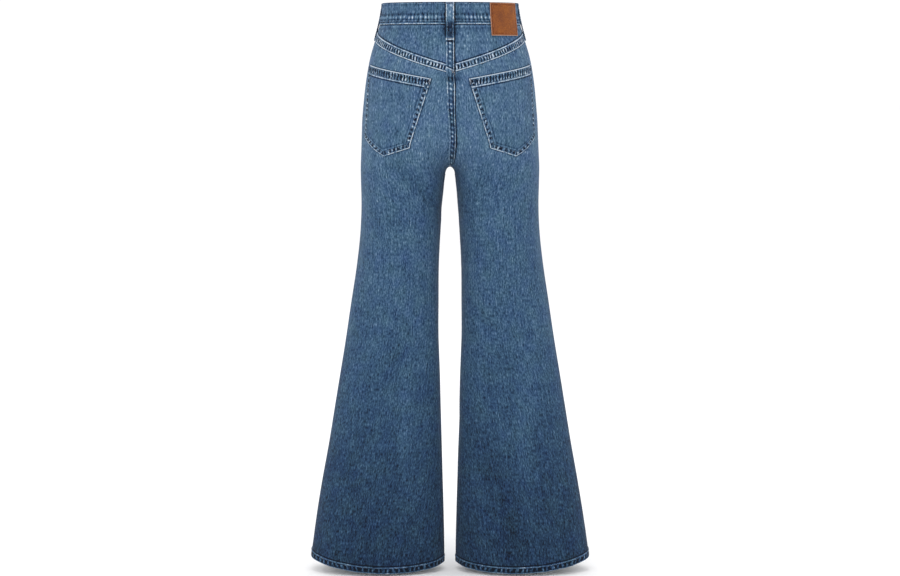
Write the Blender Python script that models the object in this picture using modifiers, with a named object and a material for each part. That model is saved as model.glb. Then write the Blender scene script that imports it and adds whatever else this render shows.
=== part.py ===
"""Flared jeans, filled out as if worn. Each piece of denim, the patch, the zip and the button is one solid.

Metres, +Z up. The wearer faces -Y, and the wearer's left is +X. The origin is the middle of the waist
opening, 16 mm below the waistband's top at the back.

The cloth lies on one smooth surface. At each height it is cut by two rounded loops, one for each leg. They
are one loop at the waist, draw apart over the seat and part at the crotch. Panels, yokes, pockets and loops
are all laid out on that surface by height and by distance round it, as a cutter would mark them.
"""

import math

import bpy
import numpy as np
from mathutils import Vector

# Cloth and seams.
CLOTH = 0.0012  # one layer of denim
GAP = 0.0003  # between pieces that touch
SEAM_HALF = 0.00018  # from a seam's line to each of the panels that meet there
FELL_RISE = 0.0007  # a felled seam stands this far above a single layer
FELL_STEP = 0.0008  # the width of the slope at a felled seam's folded edge

# Heights down the garment.
WAIST_TOP = 0.0162
WAIST_SEAM = -0.0260
WAIST_DIP = 0.010  # the waist is this much lower in front
DIP_FULL = 0.09  # the distance forward of the centre at which it has dipped in full
CROTCH = -0.3053
HEM_SIDE = -1.0860
HEM_INSEAM = -1.1020
HEM_BAND = 0.012
HEM_SAG = {"back": 0.0215, "front": -0.0020}  # how much lower the hem is halfway across each face
LOWEST = -1.128
LEVEL_FROM = -0.150  # between these heights a panel's rows are level
LEVEL_TO = -1.038
CROTCH_REACH = 0.013  # the surface is worked out closely this far above and below the crotch
CROTCH_ROWS = (0.024, 0.012, 0.0055, 0.0020, 0.0005, -0.0005, -0.002, -0.006, -0.016)

# One row for each height. outer and inner are the edges of the left leg's loop from the centre plane. Above
# the crotch inner is negative, because the legs' loops overlap. front and back are the loop's ends in y,
# middle is the y of its widest line, and square is 2 for an ellipse and more for a squarer loop.
SECTION_COLUMNS = ("z", "outer", "inner", "front", "back", "middle", "square")
SECTIONS = (
    (0.030, 0.1295, -0.1295, -0.0890, 0.0850, -0.002, 2.20),
    (-0.020, 0.1370, -0.1370, -0.0930, 0.0910, -0.001, 2.20),
    (-0.044, 0.1438, -0.1438, -0.0960, 0.0980, 0.000, 2.20),
    (-0.092, 0.1578, -0.1578, -0.1020, 0.1120, 0.003, 2.20),
    (-0.140, 0.1660, -0.1660, -0.1055, 0.1215, 0.006, 2.22),
    (-0.188, 0.1709, -0.1700, -0.1060, 0.1260, 0.008, 2.26),
    (-0.212, 0.1729, -0.1340, -0.1055, 0.1260, 0.008, 2.32),
    (-0.236, 0.1739, -0.0786, -0.1040, 0.1240, 0.008, 2.40),
    (-0.260, 0.1748, -0.0348, -0.1020, 0.1195, 0.007, 2.46),
    (-0.284, 0.1758, -0.0074, -0.0990, 0.1130, 0.006, 2.50),
    (-0.3053, 0.1767, 0.0064, -0.0965, 0.1070, 0.004, 2.48),
    (-0.332, 0.1765, 0.0114, -0.0940, 0.1010, 0.002, 2.40),
    (-0.380, 0.1759, 0.0160, -0.0920, 0.0930, 0.000, 2.30),
    (-0.428, 0.1781, 0.0193, -0.0890, 0.0870, -0.001, 2.22),
    (-0.500, 0.1861, 0.0230, -0.0830, 0.0760, -0.004, 2.16),
    (-0.572, 0.1971, 0.0235, -0.0770, 0.0655, -0.006, 2.12),
    (-0.644, 0.2081, 0.0236, -0.0730, 0.0605, -0.006, 2.10),
    (-0.716, 0.2201, 0.0210, -0.0710, 0.0590, -0.006, 2.10),
    (-0.788, 0.2321, 0.0190, -0.0700, 0.0590, -0.005, 2.10),
    (-0.860, 0.2441, 0.0169, -0.0700, 0.0600, -0.005, 2.10),
    (-0.932, 0.2571, 0.0151, -0.0705, 0.0612, -0.005, 2.10),
    (-1.004, 0.2691, 0.0138, -0.0710, 0.0624, -0.005, 2.10),
    (-1.078, 0.2801, 0.0132, -0.0720, 0.0635, -0.005, 2.10),
    (-1.130, 0.2871, 0.0132, -0.0728, 0.0642, -0.005, 2.10),
)
JOIN = 0.30  # how softly the legs' loops run into each other
JOIN_FULL = 0.6  # the spread, centre over half width, from which they join that softly
TABLE_TOP = 0.030  # the highest place at which the surface is worked out

# Where the seams lie round a leg, as turns toward the front in radians.
SIDE_TURN = 0.14
INSEAM_TURN = 0.14
INSEAM_SETTLE = 0.12  # the inseam reaches its turn this far below the crotch
REACH = 0.4  # farther than any of the cloth is from its leg's centre line
STEADY = 22  # steps of 2 mm over which a column's way past the crotch is evened out

# The cloth's largest soft creases, each a straight trough between two places seen from behind or before.
# side is 1 on the wearer's left.
CREASE_END = 0.12  # how far into its taper a crease starts and ends
CREASE_COLUMNS = ("face", "side", "x0", "z0", "x1", "z1", "width", "depth")
CREASES = (
    ("back", 1, 0.100, -0.292, 0.026, -0.386, 0.016, 0.0040),
    ("back", 1, 0.128, -0.318, 0.070, -0.392, 0.015, 0.0020),
    ("back", 1, 0.112, -0.582, 0.066, -0.626, 0.012, 0.0028),
    ("back", 1, 0.152, -0.640, 0.060, -0.690, 0.017, 0.0030),
    ("back", -1, 0.074, -0.292, 0.054, -0.358, 0.015, 0.0032),
    ("back", -1, 0.118, -0.330, 0.040, -0.402, 0.017, 0.0022),
    ("back", -1, 0.054, -0.594, 0.086, -0.642, 0.012, 0.0030),
    ("back", -1, 0.140, -0.660, 0.070, -0.716, 0.018, 0.0024),
    ("back", -1, 0.030, -0.816, 0.146, -1.042, 0.024, 0.0034),
    ("front", 1, 0.040, -0.262, 0.120, -0.222, 0.016, 0.0024),
    ("front", 1, 0.046, -0.312, 0.140, -0.290, 0.018, 0.0026),
    ("front", 1, 0.060, -0.596, 0.140, -0.560, 0.017, 0.0026),
    ("front", 1, 0.150, -0.640, 0.070, -0.676, 0.018, 0.0022),
    ("front", -1, 0.036, -0.256, 0.110, -0.226, 0.015, 0.0026),
    ("front", -1, 0.050, -0.318, 0.146, -0.302, 0.019, 0.0022),
    ("front", -1, 0.070, -0.584, 0.150, -0.566, 0.016, 0.0022),
    ("front", -1, 0.140, -0.664, 0.064, -0.640, 0.018, 0.0026),
)

# Back: heights of the yoke's lower edge, and widths of the seat seam's band on each side of the centre.
YOKE_CENTRE = -0.1203
YOKE_SIDE = -0.0500
YOKE_BOW = 0.6  # how much the line bows up before the side seam
YOKE_BAND = 0.0132
SEAT_BAND = {1: 0.0055, -1: 0.0095}

# Back pockets: each corner's distance from the centre back seam, and its height.
POCKET = {
    "inner_top": (0.0360, -0.1316),
    "outer_top": (0.1880, -0.1070),
    "inner_foot": (0.0790, -0.2640),
    "tip": (0.1350, -0.2803),
    "outer_foot": (0.1880, -0.2446),
}
POCKET_BAND = 0.0168
POCKET_BAND_RISE = 0.0008

# Waistband and what is sewn to it.
BAND_THICK = 0.0024
BAND_PROUD = 0.0013  # its outer side stands this far above the cloth below it
# The waistband's outer side from its fold to its seam: each row's height, and how far it is set in.
BAND_ROWS = (
    (WAIST_TOP - 0.0003, 0.0012),
    (WAIST_TOP - 0.0001, 0.0002),
    (WAIST_TOP - 0.0016, 0.0),
    (0.0, 0.0),
    (WAIST_SEAM + 0.0014, 0.0),
    (WAIST_SEAM, 0.0006),
)
BAND_STATIONS = 64
BAND_END = -0.012  # x of the upper end of the band, in front
BAND_UNDER_END = 0.034  # x of the lower end, hidden below it
BAND_TUCK = 0.032  # the length in which the lower end steps in
LOOP_WIDTH = 0.015
LOOP_THICK = 0.0018
LOOP_TOP = 0.0157
LOOP_FOOT = -0.0577
LOOP_STAND = 0.0011  # the clear space between a loop and the waistband
# Each loop's middle, as a distance from the centre of its face, below 0 on the wearer's right.
LOOP_COLUMNS = ("name", "face", "from_centre")
LOOPS = (
    ("belt_loop_back", "back", 0.0),
    ("belt_loop_side_left", "back", 0.183),
    ("belt_loop_side_right", "back", -0.172),
    ("belt_loop_front_left", "front", 0.068),
    ("belt_loop_front_right", "front", -0.068),
)
PATCH_INNER = 0.0818  # distances from the centre back seam, at the origin's height
PATCH_OUTER = 0.1530
PATCH_LEAN = 0.5  # the share of the waist's slope that its sides follow
PATCH_TOP = 0.0150
PATCH_FOOT = -0.0490
PATCH_THICK = 0.0016

# Columns of the panels: shares of the way from the side seam, closer where the cloth turns more.
BACK_SHARES = (0.0, 0.009, 0.05, 0.11, 0.19, 0.27, 0.35, 0.43, 0.51, 0.59, 0.67, 0.75, 0.83, 0.90)
LAST_SHARE = 0.93
FRONT_SEAM = 0.005  # the last column of a front before its edge

# Front: pocket scoops, fly, zip and button.
SCOOP_WIDE = 0.100
SCOOP_DEEP = 0.075
SCOOP_TURNS = (0, 1.1, 8, 20, 33, 47, 64, 90)  # columns, in degrees round the scoop's quarter ellipse
FACING_SPARE = 0.024  # the pocket facing goes on this far behind the front's edge
FACING_BOW = 0.92  # how much of a quarter ellipse the facing's foot follows
FACING_THICK = 0.0010
FLY_WIDE = 0.040
FLY_STRAIGHT = -0.125
FLY_FOOT = -0.190
FLY_BLUNT = 0.985  # the flap's curve stops just short of a point
FLY_THICK = 0.0010
ZIP_WIDE = 0.014
ZIP_FOOT = -0.172
ZIP_THICK = 0.0010
BUTTON_X = 0.004
BUTTON_RADIUS = 0.0085
BUTTON_HIGH = 0.0042

# Each finish: linear red, green and blue, roughness, metallic.
FINISHES = {
    "denim": (0.088, 0.154, 0.250, 0.90, 0.0),
    "denim_dark": (0.070, 0.128, 0.215, 0.90, 0.0),
    "denim_worn": (0.120, 0.190, 0.290, 0.90, 0.0),
    "leather": (0.253, 0.085, 0.029, 0.60, 0.0),
    "tape": (0.030, 0.045, 0.075, 0.90, 0.0),
    "copper": (0.480, 0.235, 0.130, 0.35, 1.0),
}


# ---------------------------------------------------------------- the surface that the cloth lies on


def columns(names, rows):
    """A table's columns by name, as arrays, from the lowest row of its first column up."""
    table = np.array(rows, float)
    table = table[np.argsort(table[:, 0])]
    return {name: table[:, i] for i, name in enumerate(names)}


def records(names, rows):
    """A table's rows, each as a dictionary by column name."""
    return [dict(zip(names, row)) for row in rows]


def smooth(x, xs, ys):
    """A smooth curve through the points (xs, ys), read at x."""
    slopes = np.gradient(ys, xs)
    i = np.clip(np.searchsorted(xs, x) - 1, 0, len(xs) - 2)
    width = xs[i + 1] - xs[i]
    t = (x - xs[i]) / width
    start = ys[i] * (1 + 2 * t) * (1 - t) ** 2 + slopes[i] * width * t * (1 - t) ** 2
    end = ys[i + 1] * t**2 * (3 - 2 * t) + slopes[i + 1] * width * t**2 * (t - 1)
    return start + end


def ease(t):
    """0 up to t = 0, 1 from t = 1, and smooth between."""
    t = np.clip(t, 0.0, 1.0)
    return t * t * (3 - 2 * t)


TABLE = columns(SECTION_COLUMNS, SECTIONS)


def section(z):
    """The leg loop's sizes at each height z."""
    row = {name: smooth(z, TABLE["z"], TABLE[name]) for name in SECTION_COLUMNS[1:]}
    row["centre"] = np.maximum(row["outer"] + row["inner"], 0.0) / 2
    row["half"] = row["outer"] - row["centre"]
    spread = row["centre"] / row["half"]
    row["join"] = JOIN * np.clip(spread / JOIN_FULL, 1e-6, 1.0)
    return row


def outside(x, y, row):
    """Below 0 inside the cloth and above 0 outside it, for places at the heights that row was read at."""
    depth = np.where(y > row["middle"], row["back"] - row["middle"], row["middle"] - row["front"])
    n = row["square"]
    deep = (np.abs(y - row["middle"]) / depth) ** n
    here = ((np.abs(x - row["centre"]) / row["half"]) ** n + deep) ** (1 / n)
    there = ((np.abs(x + row["centre"]) / row["half"]) ** n + deep) ** (1 / n)
    near = np.maximum(row["join"] - np.abs(here - there), 0.0)
    return np.minimum(here, there) - near**2 / (4 * row["join"]) - 1.0


def bisect(test, low, high, rounds=44):
    """The place between low, where test is below 0, and high, where it is above."""
    for _ in range(rounds):
        middle = (low + high) / 2
        inside = test(middle) < 0
        low = np.where(inside, middle, low)
        high = np.where(inside, high, middle)
    return (low + high) / 2


def heights():
    """The heights at which the surface is worked out, close together at the crotch, where it runs flat."""
    close = CROTCH_REACH * np.linspace(0.04, 0.94, 11) ** 2.2
    even = np.linspace(LOWEST, TABLE_TOP, 340)
    even = even[np.abs(even - CROTCH) > CROTCH_REACH]
    return np.sort(np.concatenate([even, CROTCH - close, CROTCH + close]))


class Quarter:
    """The cloth surface on one face and one side, from the side seam round to the rise or the inseam."""

    FINE = 260  # angles worked out at each height
    STEPS = 161  # places kept at each height, evenly apart

    def __init__(self, face, side):
        self.face = face
        self.side = side
        self.sign = 1 if face == "back" else -1
        self.z = heights()
        self.points, self.length = self.lay_out()
        self.normals = self.facing()
        self.points = self.points + self.normals * self.creased()[..., None]
        self.normals = self.facing()
        even = np.arange(self.z[0], self.z[-1], 0.002)
        held = np.pad(np.interp(even, self.z, self.length), STEADY, mode="edge")
        window = np.hanning(2 * STEADY + 1)
        self.steady = even, np.convolve(held, window / window.sum(), mode="valid")

    def end_turn(self, row):
        """The angle from the leg's centre at which this quarter ends, on the rise or on the inseam."""
        start = row["middle"]
        far = start + self.sign * REACH
        x = np.full_like(self.z, SEAM_HALF)
        joined = outside(x, start, row) < 0
        y = bisect(lambda v: outside(x, v, row), start, far)
        rise = np.arctan2(np.abs(y - start), x - row["centre"])
        lean = INSEAM_TURN * ease((CROTCH - self.z) / INSEAM_SETTLE)
        inseam = math.pi + self.sign * lean - SEAM_HALF / row["half"]
        return np.where(joined, np.minimum(rise, inseam), inseam)

    def lay_out(self):
        row = section(self.z)
        first = -self.sign * SIDE_TURN + SEAM_HALF / row["outer"]
        last = self.end_turn(row)
        turns = first[:, None] + (last - first)[:, None] * np.linspace(0, 1, self.FINE)
        wide = {name: value[:, None] for name, value in row.items()}
        across, deep = np.cos(turns), self.sign * np.sin(turns)

        def test(reach):
            return outside(wide["centre"] + reach * across, wide["middle"] + reach * deep, wide)

        # A ray toward the other leg stops at the centre plane.
        to_plane = wide["centre"] / np.maximum(-across, 1e-6)
        most = np.where(across < 0, np.minimum(to_plane, REACH), REACH)
        reach = bisect(test, np.zeros_like(turns), most)
        x = wide["centre"] + reach * across
        y = wide["middle"] + reach * deep
        steps = np.hypot(np.diff(x, axis=1), np.diff(y, axis=1))
        along = np.concatenate([np.zeros((len(x), 1)), np.cumsum(steps, axis=1)], axis=1)
        points = np.empty((len(x), self.STEPS, 3))
        for i, length in enumerate(along[:, -1]):
            even = np.linspace(0, length, self.STEPS)
            points[i, :, 0] = np.interp(even, along[i], x[i])
            points[i, :, 1] = np.interp(even, along[i], y[i])
            points[i, :, 2] = self.z[i]
        points[..., 0] *= self.side
        return points, along[:, -1]

    def facing(self):
        """The outward normal at each kept place."""
        up = np.gradient(self.points, axis=0)
        around = np.gradient(self.points, axis=1)
        normal = np.cross(around, up)
        normal /= np.linalg.norm(normal, axis=-1, keepdims=True)
        return normal * (self.sign * self.side)

    def creased(self):
        """How far the creases push each place out."""
        x = np.abs(self.points[..., 0])
        z = self.points[..., 2]
        pushed = np.zeros_like(x)
        for crease in records(CREASE_COLUMNS, CREASES):
            if (crease["face"], crease["side"]) != (self.face, self.side):
                continue
            run_x, run_z = crease["x1"] - crease["x0"], crease["z1"] - crease["z0"]
            from_x, from_z = x - crease["x0"], z - crease["z0"]
            along = np.clip((from_x * run_x + from_z * run_z) / (run_x**2 + run_z**2), 0, 1)
            away = np.hypot(from_x - along * run_x, from_z - along * run_z)
            taper = np.sin(math.pi * (CREASE_END + (1 - 2 * CREASE_END) * along))
            pushed -= crease["depth"] * taper * np.exp(-((away / crease["width"]) ** 2))
        return pushed

    def round_at(self, z):
        """The distance from the side seam to this quarter's other end, at height z."""
        return np.interp(z, self.z, self.length)

    def column(self, share, z):
        """The distance from the side seam of a column that keeps this share of the way round.

        It runs steadily past the crotch, where the whole way changes quickly.
        """
        steady = np.interp(z, *self.steady)
        return steady * share + (self.round_at(z) - steady) * share**4

    def at(self, distance, z, out=0.0):
        """Points at these distances from the side seam and heights, moved out along the normal."""
        distance, z, out = np.broadcast_arrays(distance, z, out)
        i = np.clip(np.searchsorted(self.z, z) - 1, 0, len(self.z) - 2)
        v = (z - self.z[i]) / (self.z[i + 1] - self.z[i])
        share = np.clip(distance / self.round_at(z), 0, 1) * (self.STEPS - 1)
        j = np.clip(share.astype(int), 0, self.STEPS - 2)
        u = share - j

        def read(grid):
            low = grid[i, j] * (1 - u)[..., None] + grid[i, j + 1] * u[..., None]
            high = grid[i + 1, j] * (1 - u)[..., None] + grid[i + 1, j + 1] * u[..., None]
            return low * (1 - v)[..., None] + high * v[..., None]

        normal = read(self.normals)
        normal /= np.linalg.norm(normal, axis=-1, keepdims=True)
        return read(self.points) + normal * out[..., None]

    def from_centre(self, distance, z, out=0.0):
        """The same, with distances from the centre seam or the inseam."""
        return self.at(self.round_at(z) - distance, z, out)


QUARTERS = {(face, side): Quarter(face, side) for face in ("front", "back") for side in (1, -1)}


def over_centre(face, distance, z, out=0.0):
    """Points on both sides of a face's centre seam, by distance from it, above 0 on the wearer's left."""
    away = np.abs(distance)
    left = QUARTERS[face, 1].from_centre(away, z, out)
    right = QUARTERS[face, -1].from_centre(away, z, out)
    return np.where((distance > 0)[..., None], left, right)


def waist_dip(y):
    """How much lower the waist seam and the waistband are at depth y."""
    return -WAIST_DIP * np.clip(-y / DIP_FULL, 0, 1) ** 2


def at_waist(angle, z, out=0.0):
    """A point on the cloth above the hips, by its angle about +Z from the wearer's left."""
    angle, z, out = np.broadcast_arrays(angle, z, out)
    row = section(z)
    across, deep = np.cos(angle), np.sin(angle)

    def test(reach):
        return outside(np.abs(reach * across), row["middle"] + reach * deep, row)

    reach = bisect(test, np.zeros_like(z), np.full_like(z, REACH))
    n = row["square"]
    x = reach * across
    y = reach * deep
    depth = np.where(y > 0, row["back"] - row["middle"], row["middle"] - row["front"])
    normal_x = np.sign(x) * np.abs(x / row["half"]) ** (n - 1) / row["half"]
    normal_y = np.sign(y) * np.abs(y / depth) ** (n - 1) / depth
    size = np.hypot(normal_x, normal_y)
    x = x + normal_x / size * out
    y = y + row["middle"] + normal_y / size * out
    return np.stack([x, y, z], axis=-1)


# ---------------------------------------------------------------- making solids


def clear_scene():
    for thing in list(bpy.data.objects):
        bpy.data.objects.remove(thing, do_unlink=True)


def collection_for_parts():
    parts = bpy.data.collections.new("flared_jeans")
    bpy.context.scene.collection.children.link(parts)
    return parts


def finish_for(name, finish):
    red, green, blue, rough, metal = FINISHES[finish]
    material = bpy.data.materials.new(name)
    material.use_nodes = True
    shader = material.node_tree.nodes["Principled BSDF"]
    shader.inputs["Base Color"].default_value = (red, green, blue, 1.0)
    shader.inputs["Roughness"].default_value = rough
    shader.inputs["Metallic"].default_value = metal
    return material


def sheet(parts, name, grid, outward, thickness, lies, finish):
    """A piece of cloth as one solid: an open surface through a grid of points, thickened by Solidify.

    outward is a direction that the outer side faces. lies is -1 where the grid is the outer side, and 1
    where it is the inner side.
    """
    rows, cols = grid.shape[:2]
    faces = []
    for i in range(rows - 1):
        for j in range(cols - 1):
            corner = i * cols + j
            faces.append((corner, corner + 1, corner + cols + 1, corner + cols))
    middle_row, middle_col = rows // 2, cols // 2
    across = grid[middle_row, min(middle_col + 1, cols - 1)] - grid[middle_row, middle_col - 1]
    down = grid[min(middle_row + 1, rows - 1), middle_col] - grid[middle_row - 1, middle_col]
    if np.dot(np.cross(across, down), outward) < 0:
        faces = [face[::-1] for face in faces]
    mesh = bpy.data.meshes.new(name)
    mesh.from_pydata([tuple(map(float, point)) for point in grid.reshape(-1, 3)], [], faces)
    mesh.validate()
    mesh.shade_smooth()
    piece = bpy.data.objects.new(name, mesh)
    piece.data.materials.append(finish_for(name, finish))
    parts.objects.link(piece)
    wall = piece.modifiers.new("wall", "SOLIDIFY")
    wall.thickness = thickness
    wall.offset = lies
    return piece


def stepped(distance, width, rise=FELL_RISE):
    """The height of a band of this width along an edge, with a short slope down from it."""
    return rise * (1 - ease((distance - width) / FELL_STEP))


# ---------------------------------------------------------------- the panels


def side_word(side):
    return "left" if side == 1 else "right"


def hem_height(face, share):
    """The hem's height, by the share of the way from the side seam to the inseam."""
    sag = HEM_SAG[face] * np.sin(math.pi * share)
    return HEM_SIDE + (HEM_INSEAM - HEM_SIDE) * share - sag


def panel_rows(top, foot):
    """Rows of heights for a panel: slanting from the top edge, level between, and slanting to the hem."""
    crotch = CROTCH + np.array(CROTCH_ROWS)
    level = np.concatenate([
        np.linspace(LEVEL_FROM, crotch[0], 7)[:-1],
        crotch,
        np.linspace(crotch[-1], LEVEL_TO, 18)[1:],
    ])
    band_top = foot + HEM_BAND + FELL_STEP
    rows = [top + (level[0] - top) * t for t in np.linspace(0, 1, 5)[:-1]]
    rows += [np.full_like(top, z) for z in level]
    rows += [(level[-1] + band_top) / 2, band_top, foot + HEM_BAND, foot + HEM_BAND / 2, foot]
    return np.array(rows)


def panel(parts, face, side, shares, near, top_of, band=0.0):
    """A front or a back.

    shares are its columns' shares of the way from the side seam, and near the distances of its last columns
    from the centre edge. top_of gives its top edge's height at each column, and band is the width of the
    felled seam along the centre edge.
    """
    quarter = QUARTERS[face, side]
    spread = np.concatenate([shares, np.zeros(len(near))])
    fixed = np.concatenate([np.zeros(len(shares)), near])
    even = np.arange(len(spread)) < len(shares)

    def places(z):
        return np.where(even, quarter.column(spread, z), quarter.round_at(z) - fixed)

    top = np.full(len(spread), WAIST_SEAM)
    for _ in range(3):
        top = top_of(quarter, places(top), top)
    foot = hem_height(face, places(np.full(len(spread), HEM_SIDE)) / quarter.round_at(HEM_SIDE))
    z = panel_rows(top, foot)
    from_side = places(z)
    rise = stepped(z - foot, HEM_BAND)
    if band:
        rise = np.maximum(rise, stepped(quarter.round_at(z) - from_side, band))
    name = f"{face}_panel_{side_word(side)}"
    outward = (0, quarter.sign, 0)
    return sheet(parts, name, quarter.at(from_side, z, rise), outward, CLOTH, -1, "denim")


def yoke_line(from_centre, whole):
    """The height of the yoke's lower edge, at a distance from the centre back seam."""
    share = np.clip(from_centre / whole, 0, 1)
    return YOKE_CENTRE + (YOKE_SIDE - YOKE_CENTRE) * (share + YOKE_BOW * share**3 * (1 - share))


def back_top(quarter, from_side, z):
    whole = quarter.round_at(z)
    return yoke_line(whole - from_side, whole) - GAP


def front_top(quarter, from_side, z):
    """The waist seam, with the pocket's scoop cut out of it toward the side seam."""
    seam = WAIST_SEAM + waist_dip(quarter.at(from_side, z)[..., 1]) - GAP
    into = np.clip(from_side / SCOOP_WIDE, 0, 1)
    return seam - SCOOP_DEEP * np.sqrt(1 - into**2)


def scoop_shares(quarter):
    """The columns of a front over its pocket's scoop, and one where the facing behind it ends."""
    steady = quarter.round_at(WAIST_SEAM)
    scoop = SCOOP_WIDE * np.sin(np.radians(SCOOP_TURNS))
    return np.concatenate([scoop, [SCOOP_WIDE + FACING_SPARE]]) / steady


def panels(parts, side):
    band = SEAT_BAND[side]
    panel(parts, "back", side, BACK_SHARES, [band + FELL_STEP, band, 0.0], back_top, band)
    scoop = scoop_shares(QUARTERS["front", side])
    rest = np.linspace(scoop[-1], LAST_SHARE, 6)[1:]
    panel(parts, "front", side, np.concatenate([scoop, rest]), [FRONT_SEAM, 0.0], front_top)


def yoke(parts, side):
    """A back yoke, with its felled lower edge standing proud."""
    quarter = QUARTERS["back", side]
    whole = quarter.round_at(YOKE_SIDE)
    band = SEAT_BAND[side]
    even = whole * (1 - np.array(BACK_SHARES[::-1]))
    from_centre = np.concatenate([[0.0, band, band + FELL_STEP], even[even > 2 * band]])
    foot = yoke_line(from_centre, whole)
    seam_top = WAIST_SEAM + waist_dip(quarter.from_centre(from_centre, WAIST_SEAM)[..., 1]) - GAP
    fold = foot + YOKE_BAND
    rows = [seam_top + (fold + FELL_STEP - seam_top) * t for t in (0, 0.34, 0.67, 1.0)]
    z = np.array(rows + [fold, (fold + foot) / 2, foot])
    share = from_centre / whole
    near = np.broadcast_to(from_centre, z.shape)
    far = share * quarter.round_at(z)
    place = np.where(near < 2 * band, near, far)
    rise = np.maximum(stepped(place, band), stepped(z - foot, YOKE_BAND))
    grid = quarter.from_centre(place, z, rise)
    return sheet(parts, f"yoke_{side_word(side)}", grid, (0, 1, 0), CLOTH, -1, "denim_worn")


def pocket_facing(parts, side):
    """The denim behind a front pocket's scoop, seen through it. It lies behind the front."""
    quarter = QUARTERS["front", side]
    shares = scoop_shares(quarter)
    wide = SCOOP_WIDE + FACING_SPARE
    deep = SCOOP_DEEP + FACING_SPARE
    from_side = quarter.column(shares, WAIST_SEAM)
    top = WAIST_SEAM + waist_dip(quarter.at(from_side, WAIST_SEAM)[..., 1]) - GAP
    foot = WAIST_SEAM - deep * np.sqrt(1 - (FACING_BOW * from_side / wide) ** 2)
    z = top + (foot - top) * np.linspace(0, 1, 7)[:, None]
    grid = quarter.at(quarter.column(shares, z), z, -CLOTH - 2 * GAP)
    name = f"pocket_facing_{side_word(side)}"
    return sheet(parts, name, grid, (0, -1, 0), FACING_THICK, -1, "denim_dark")


def back_pocket(parts, side):
    """A patch pocket with a pointed foot, moved out from the back panel, its mouth's band standing proud."""
    quarter = QUARTERS["back", side]
    corner = {name: np.array(place) for name, place in POCKET.items()}
    across = np.linspace(0, 1, 11)
    top = corner["inner_top"] + (corner["outer_top"] - corner["inner_top"]) * across[:, None]
    to_tip = np.clip(across * 2, 0, 1)[:, None]
    from_tip = np.clip(across * 2 - 1, 0, 1)[:, None]
    foot = corner["inner_foot"] + (corner["tip"] - corner["inner_foot"]) * to_tip
    foot = foot + (corner["outer_foot"] - corner["tip"]) * from_tip
    deep = np.linalg.norm(foot - top, axis=1)
    band = POCKET_BAND / deep
    below = band + FELL_STEP / deep
    rest = [below + (1 - below) * t for t in np.linspace(0, 1, 11)]
    shares = np.array([0 * band, band] + rest)
    place = top + (foot - top) * shares[..., None]
    rise = stepped(shares * deep, POCKET_BAND, POCKET_BAND_RISE)
    grid = quarter.from_centre(place[..., 0], place[..., 1], 2 * GAP + rise)
    return sheet(parts, f"back_pocket_{side_word(side)}", grid, (0, 1, 0), CLOTH, 1, "denim")


# ---------------------------------------------------------------- the waistband and what it carries


def front_angle(x):
    """The angle about +Z of a place in front of the waist, by its x."""
    row = section(np.float64(0.0))
    depth = row["middle"] - row["front"]
    return -math.pi / 2 + x / depth


def waistband(parts):
    """One strip round the waist. Its lower end passes under its upper end in front."""
    start = front_angle(BAND_END)
    turn = 2 * math.pi + front_angle(BAND_UNDER_END) - start
    about = start + turn * np.linspace(0, 1, BAND_STATIONS)
    along = (about - about[0]) * section(np.float64(0.0))["half"]
    under = along[-1] - (BAND_UNDER_END - BAND_END)
    tuck = ease((along - under + BAND_TUCK) / BAND_TUCK)
    grid = []
    for height, set_in in BAND_ROWS:
        out = BAND_PROUD - set_in - tuck * (BAND_THICK + 2 * GAP + BAND_PROUD)
        place = at_waist(about, np.full_like(about, height))
        dip = waist_dip(place[:, 1])
        grid.append(at_waist(about, height + dip, out))
    grid = np.array(grid)
    middle = grid[2, grid.shape[1] // 2]
    return sheet(parts, "waistband", grid, (middle[0], middle[1], 0), BAND_THICK, -1, "denim_worn")


def belt_loop(parts, name, face, from_centre):
    """A loop sewn at the top and foot of the waistband, standing off between."""
    beside = np.linspace(-0.5, 0.5, 5) * LOOP_WIDTH
    dip = float(waist_dip(over_centre(face, from_centre + beside, 0.0)[2, 1]))
    top = LOOP_TOP + dip
    foot = LOOP_FOOT + dip
    sewn = BAND_PROUD + GAP
    flat = FELL_RISE + GAP
    stand = LOOP_STAND + BAND_PROUD
    profile = (
        (top, sewn),
        (top - 0.004, sewn),
        (top - 0.009, stand - 0.0006),
        (top - 0.014, stand),
        (dip, stand),
        (dip + WAIST_SEAM + 0.004, stand),
        ((dip + WAIST_SEAM + foot) / 2 + 0.004, stand - 0.0004),
        (foot + 0.011, flat + 0.0008),
        (foot + 0.007, flat),
        (foot, flat),
    )
    z, out = np.array(profile).T
    quarter = QUARTERS[face, 1]
    upright = from_centre * quarter.round_at(z) / quarter.round_at(0.0)
    grid = over_centre(face, upright[:, None] + beside, z[:, None], out[:, None])
    middle = grid[4, 2]
    return sheet(parts, name, grid, (middle[0], middle[1], 0), LOOP_THICK, 1, "denim_worn")


def patch(parts):
    """The leather patch, over the waistband and down on to the yoke."""
    from_centre = np.linspace(PATCH_INNER, PATCH_OUTER, 12)
    on_waistband = np.linspace(PATCH_TOP, WAIST_SEAM, 5)
    on_yoke = np.linspace(WAIST_SEAM, PATCH_FOOT, 4)[1:]
    z = np.concatenate([on_waistband, on_yoke])[:, None]
    quarter = QUARTERS["back", -1]
    lean = 1 + PATCH_LEAN * (quarter.round_at(z) / quarter.round_at(0.0) - 1)
    out = 3 * GAP + (BAND_PROUD - GAP) * ease((z - PATCH_FOOT) / (WAIST_SEAM - PATCH_FOOT))
    grid = over_centre("back", -from_centre * lean, z, out)
    return sheet(parts, "patch", grid, (-0.4, 1, 0), PATCH_THICK, 1, "leather")


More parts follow.
